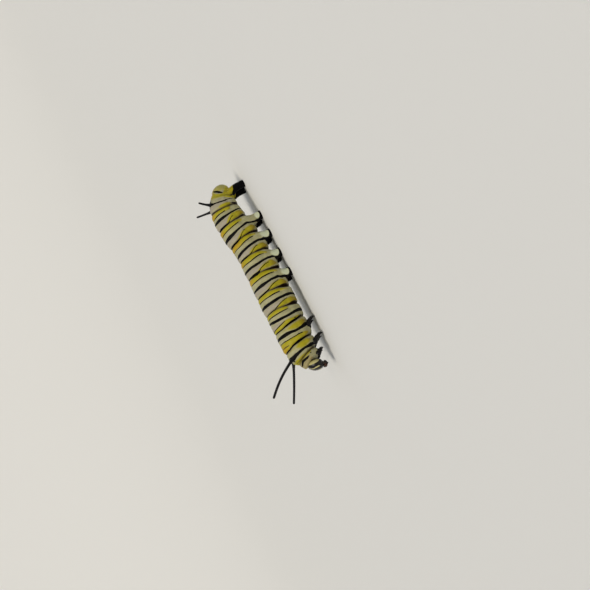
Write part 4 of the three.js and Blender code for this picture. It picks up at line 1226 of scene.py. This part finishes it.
for _ in range(SETAE_ON_SKIN):
    k, j = rng.integers(4, len(xs) - 2), rng.integers(0, SIDES)
    if stump_height[k, j] > 0.25:  # none on the soles
        is_low = stump_height[k, j] < 2 or xs[k] > place("anal_segment", 0)
        length = LONG_SETA if is_low else SHORT_SETA
        grow_seta(trunk[k, j], skin_out[k, j], unit(skin_along[k, j]), length, (k / len(xs), j / SIDES))
for _ in range(SETAE_ON_HEAD):
    turn, rise = rng.uniform(-math.pi / 2, math.pi / 2), rng.uniform(-0.9, 1.3)
    at, further_out = on_head(turn, rise)[0], on_head(turn, rise, 0.1)[0]
    out = unit(further_out - at)
    grow_seta(at, out, np.cross(out, (0, 1, 0)), HEAD_SETA, ((turn + 2) / 4, (rise + 1) / 2.5))

# %% [markdown]
# All bristles go into one mesh: three corners round each root, and a tip.
# %% Setae as one mesh
roots, ways = np.array(roots), np.array(ways)
sideways = unit(np.cross(ways, (0.31, 0.9, 0.3)))
crosswise = unit(np.cross(ways, sideways))
corners = [
    roots + SETA_RADIUS * (math.cos(angle) * sideways + math.sin(angle) * crosswise)
    for angle in np.radians((0, 120, 240))
]
points = np.stack([*corners, roots + ways], 1).reshape(-1, 3)
sides_and_root = np.array([(0, 1, 3), (1, 2, 3), (2, 0, 3), (2, 1, 0)])
faces = (4 * np.arange(len(roots))[:, None, None] + sides_and_root).reshape(-1, 3)
patch_corners = SETA_PATCH * np.array([(0, 0), (1, 0), (0.5, 1)])
flat = 0.01 + 0.97 * np.array(patch_places)[:, None, None] + patch_corners
setae = put_in_scene("setae", new_mesh("setae", points, faces.tolist(), np.repeat(flat, 4, axis=1)))
bristle = glossy_chitin("bristle_chitin", "#0c0908", "#2b211a", 0.4, 0.4)
finish_piece(setae, bristle, "skin")
print("setae:", len(roots))

# %% [markdown]
# The stage is a plain pale floor that curves up far behind the larva. A wide soft sun high on the
# camera's side gives the forms, and a pale sky fills the shadows, so the floor is lit evenly and no lamp
# makes a hot spot.
# %% Stage and light
FLOOR_NEAR, FLOOR_FAR, FLOOR_RISE, FLOOR_HALF_WIDTH = -700, 500, 900, 2500
rising = np.linspace(0, math.pi / 2, 41)
ys = np.array([FLOOR_NEAR, *(FLOOR_FAR + FLOOR_RISE * np.sin(rising)), FLOOR_FAR + FLOOR_RISE])
zs = np.array([0, *(FLOOR_RISE * (1 - np.cos(rising))), 3 * FLOOR_RISE])
verts = [(x * MM, y * MM, z * MM) for y, z in zip(ys, zs) for x in (-FLOOR_HALF_WIDTH, FLOOR_HALF_WIDTH)]
floor_mesh = bpy.data.meshes.new("floor")
floor_mesh.from_pydata(verts, [], [(k, k + 1, k + 3, k + 2) for k in range(0, 2 * len(ys) - 2, 2)])
floor_mesh.shade_smooth()
put_in_scene("floor", floor_mesh)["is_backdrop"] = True
paper, tree, shader = new_material("pale_paper")
feed(shader, {"Base Color": linear("#d9d9d6"), "Roughness": 0.9})
floor_mesh.materials.append(paper)


def sun(name, comes_from, strength, softness, colour):
    """A far lamp; softness is the angle over which its light is spread, in degrees."""
    light = bpy.data.lights.new(name, "SUN")
    light.energy, light.angle, light.color = strength, math.radians(softness), linear(colour)[:3]
    put_in_scene(name, light).rotation_euler = Vector(comes_from).to_track_quat("Z", "Y").to_euler()


sun("high_soft_sun", (-0.35, -0.8, 1.25), 2.1, 30, "#fff7ea")
sun("rear_soft_sun", (0.8, 0.9, 0.8), 0.6, 50, "#dfe9ff")
world = bpy.data.worlds.new("studio")
bpy.context.scene.world = world
world.use_nodes = True
feed(world.node_tree.nodes["Background"], {"Color": linear("#e4e9f2"), "Strength": 0.42})
bpy.context.scene.view_settings.view_transform = "Standard"
print("the floor is", 2 * FLOOR_HALF_WIDTH, "mm wide")

# %% [markdown]
# Last, the two boxes are written side by side: that of the construction model and that of the dressed
# larva.
# %% Sizes and hand-over
dressed_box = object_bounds()
for word, box in (("construction", cad_box), ("dressed", dressed_box)):
    print(word, [[round(c / MM, 2) for c in corner] for corner in box])
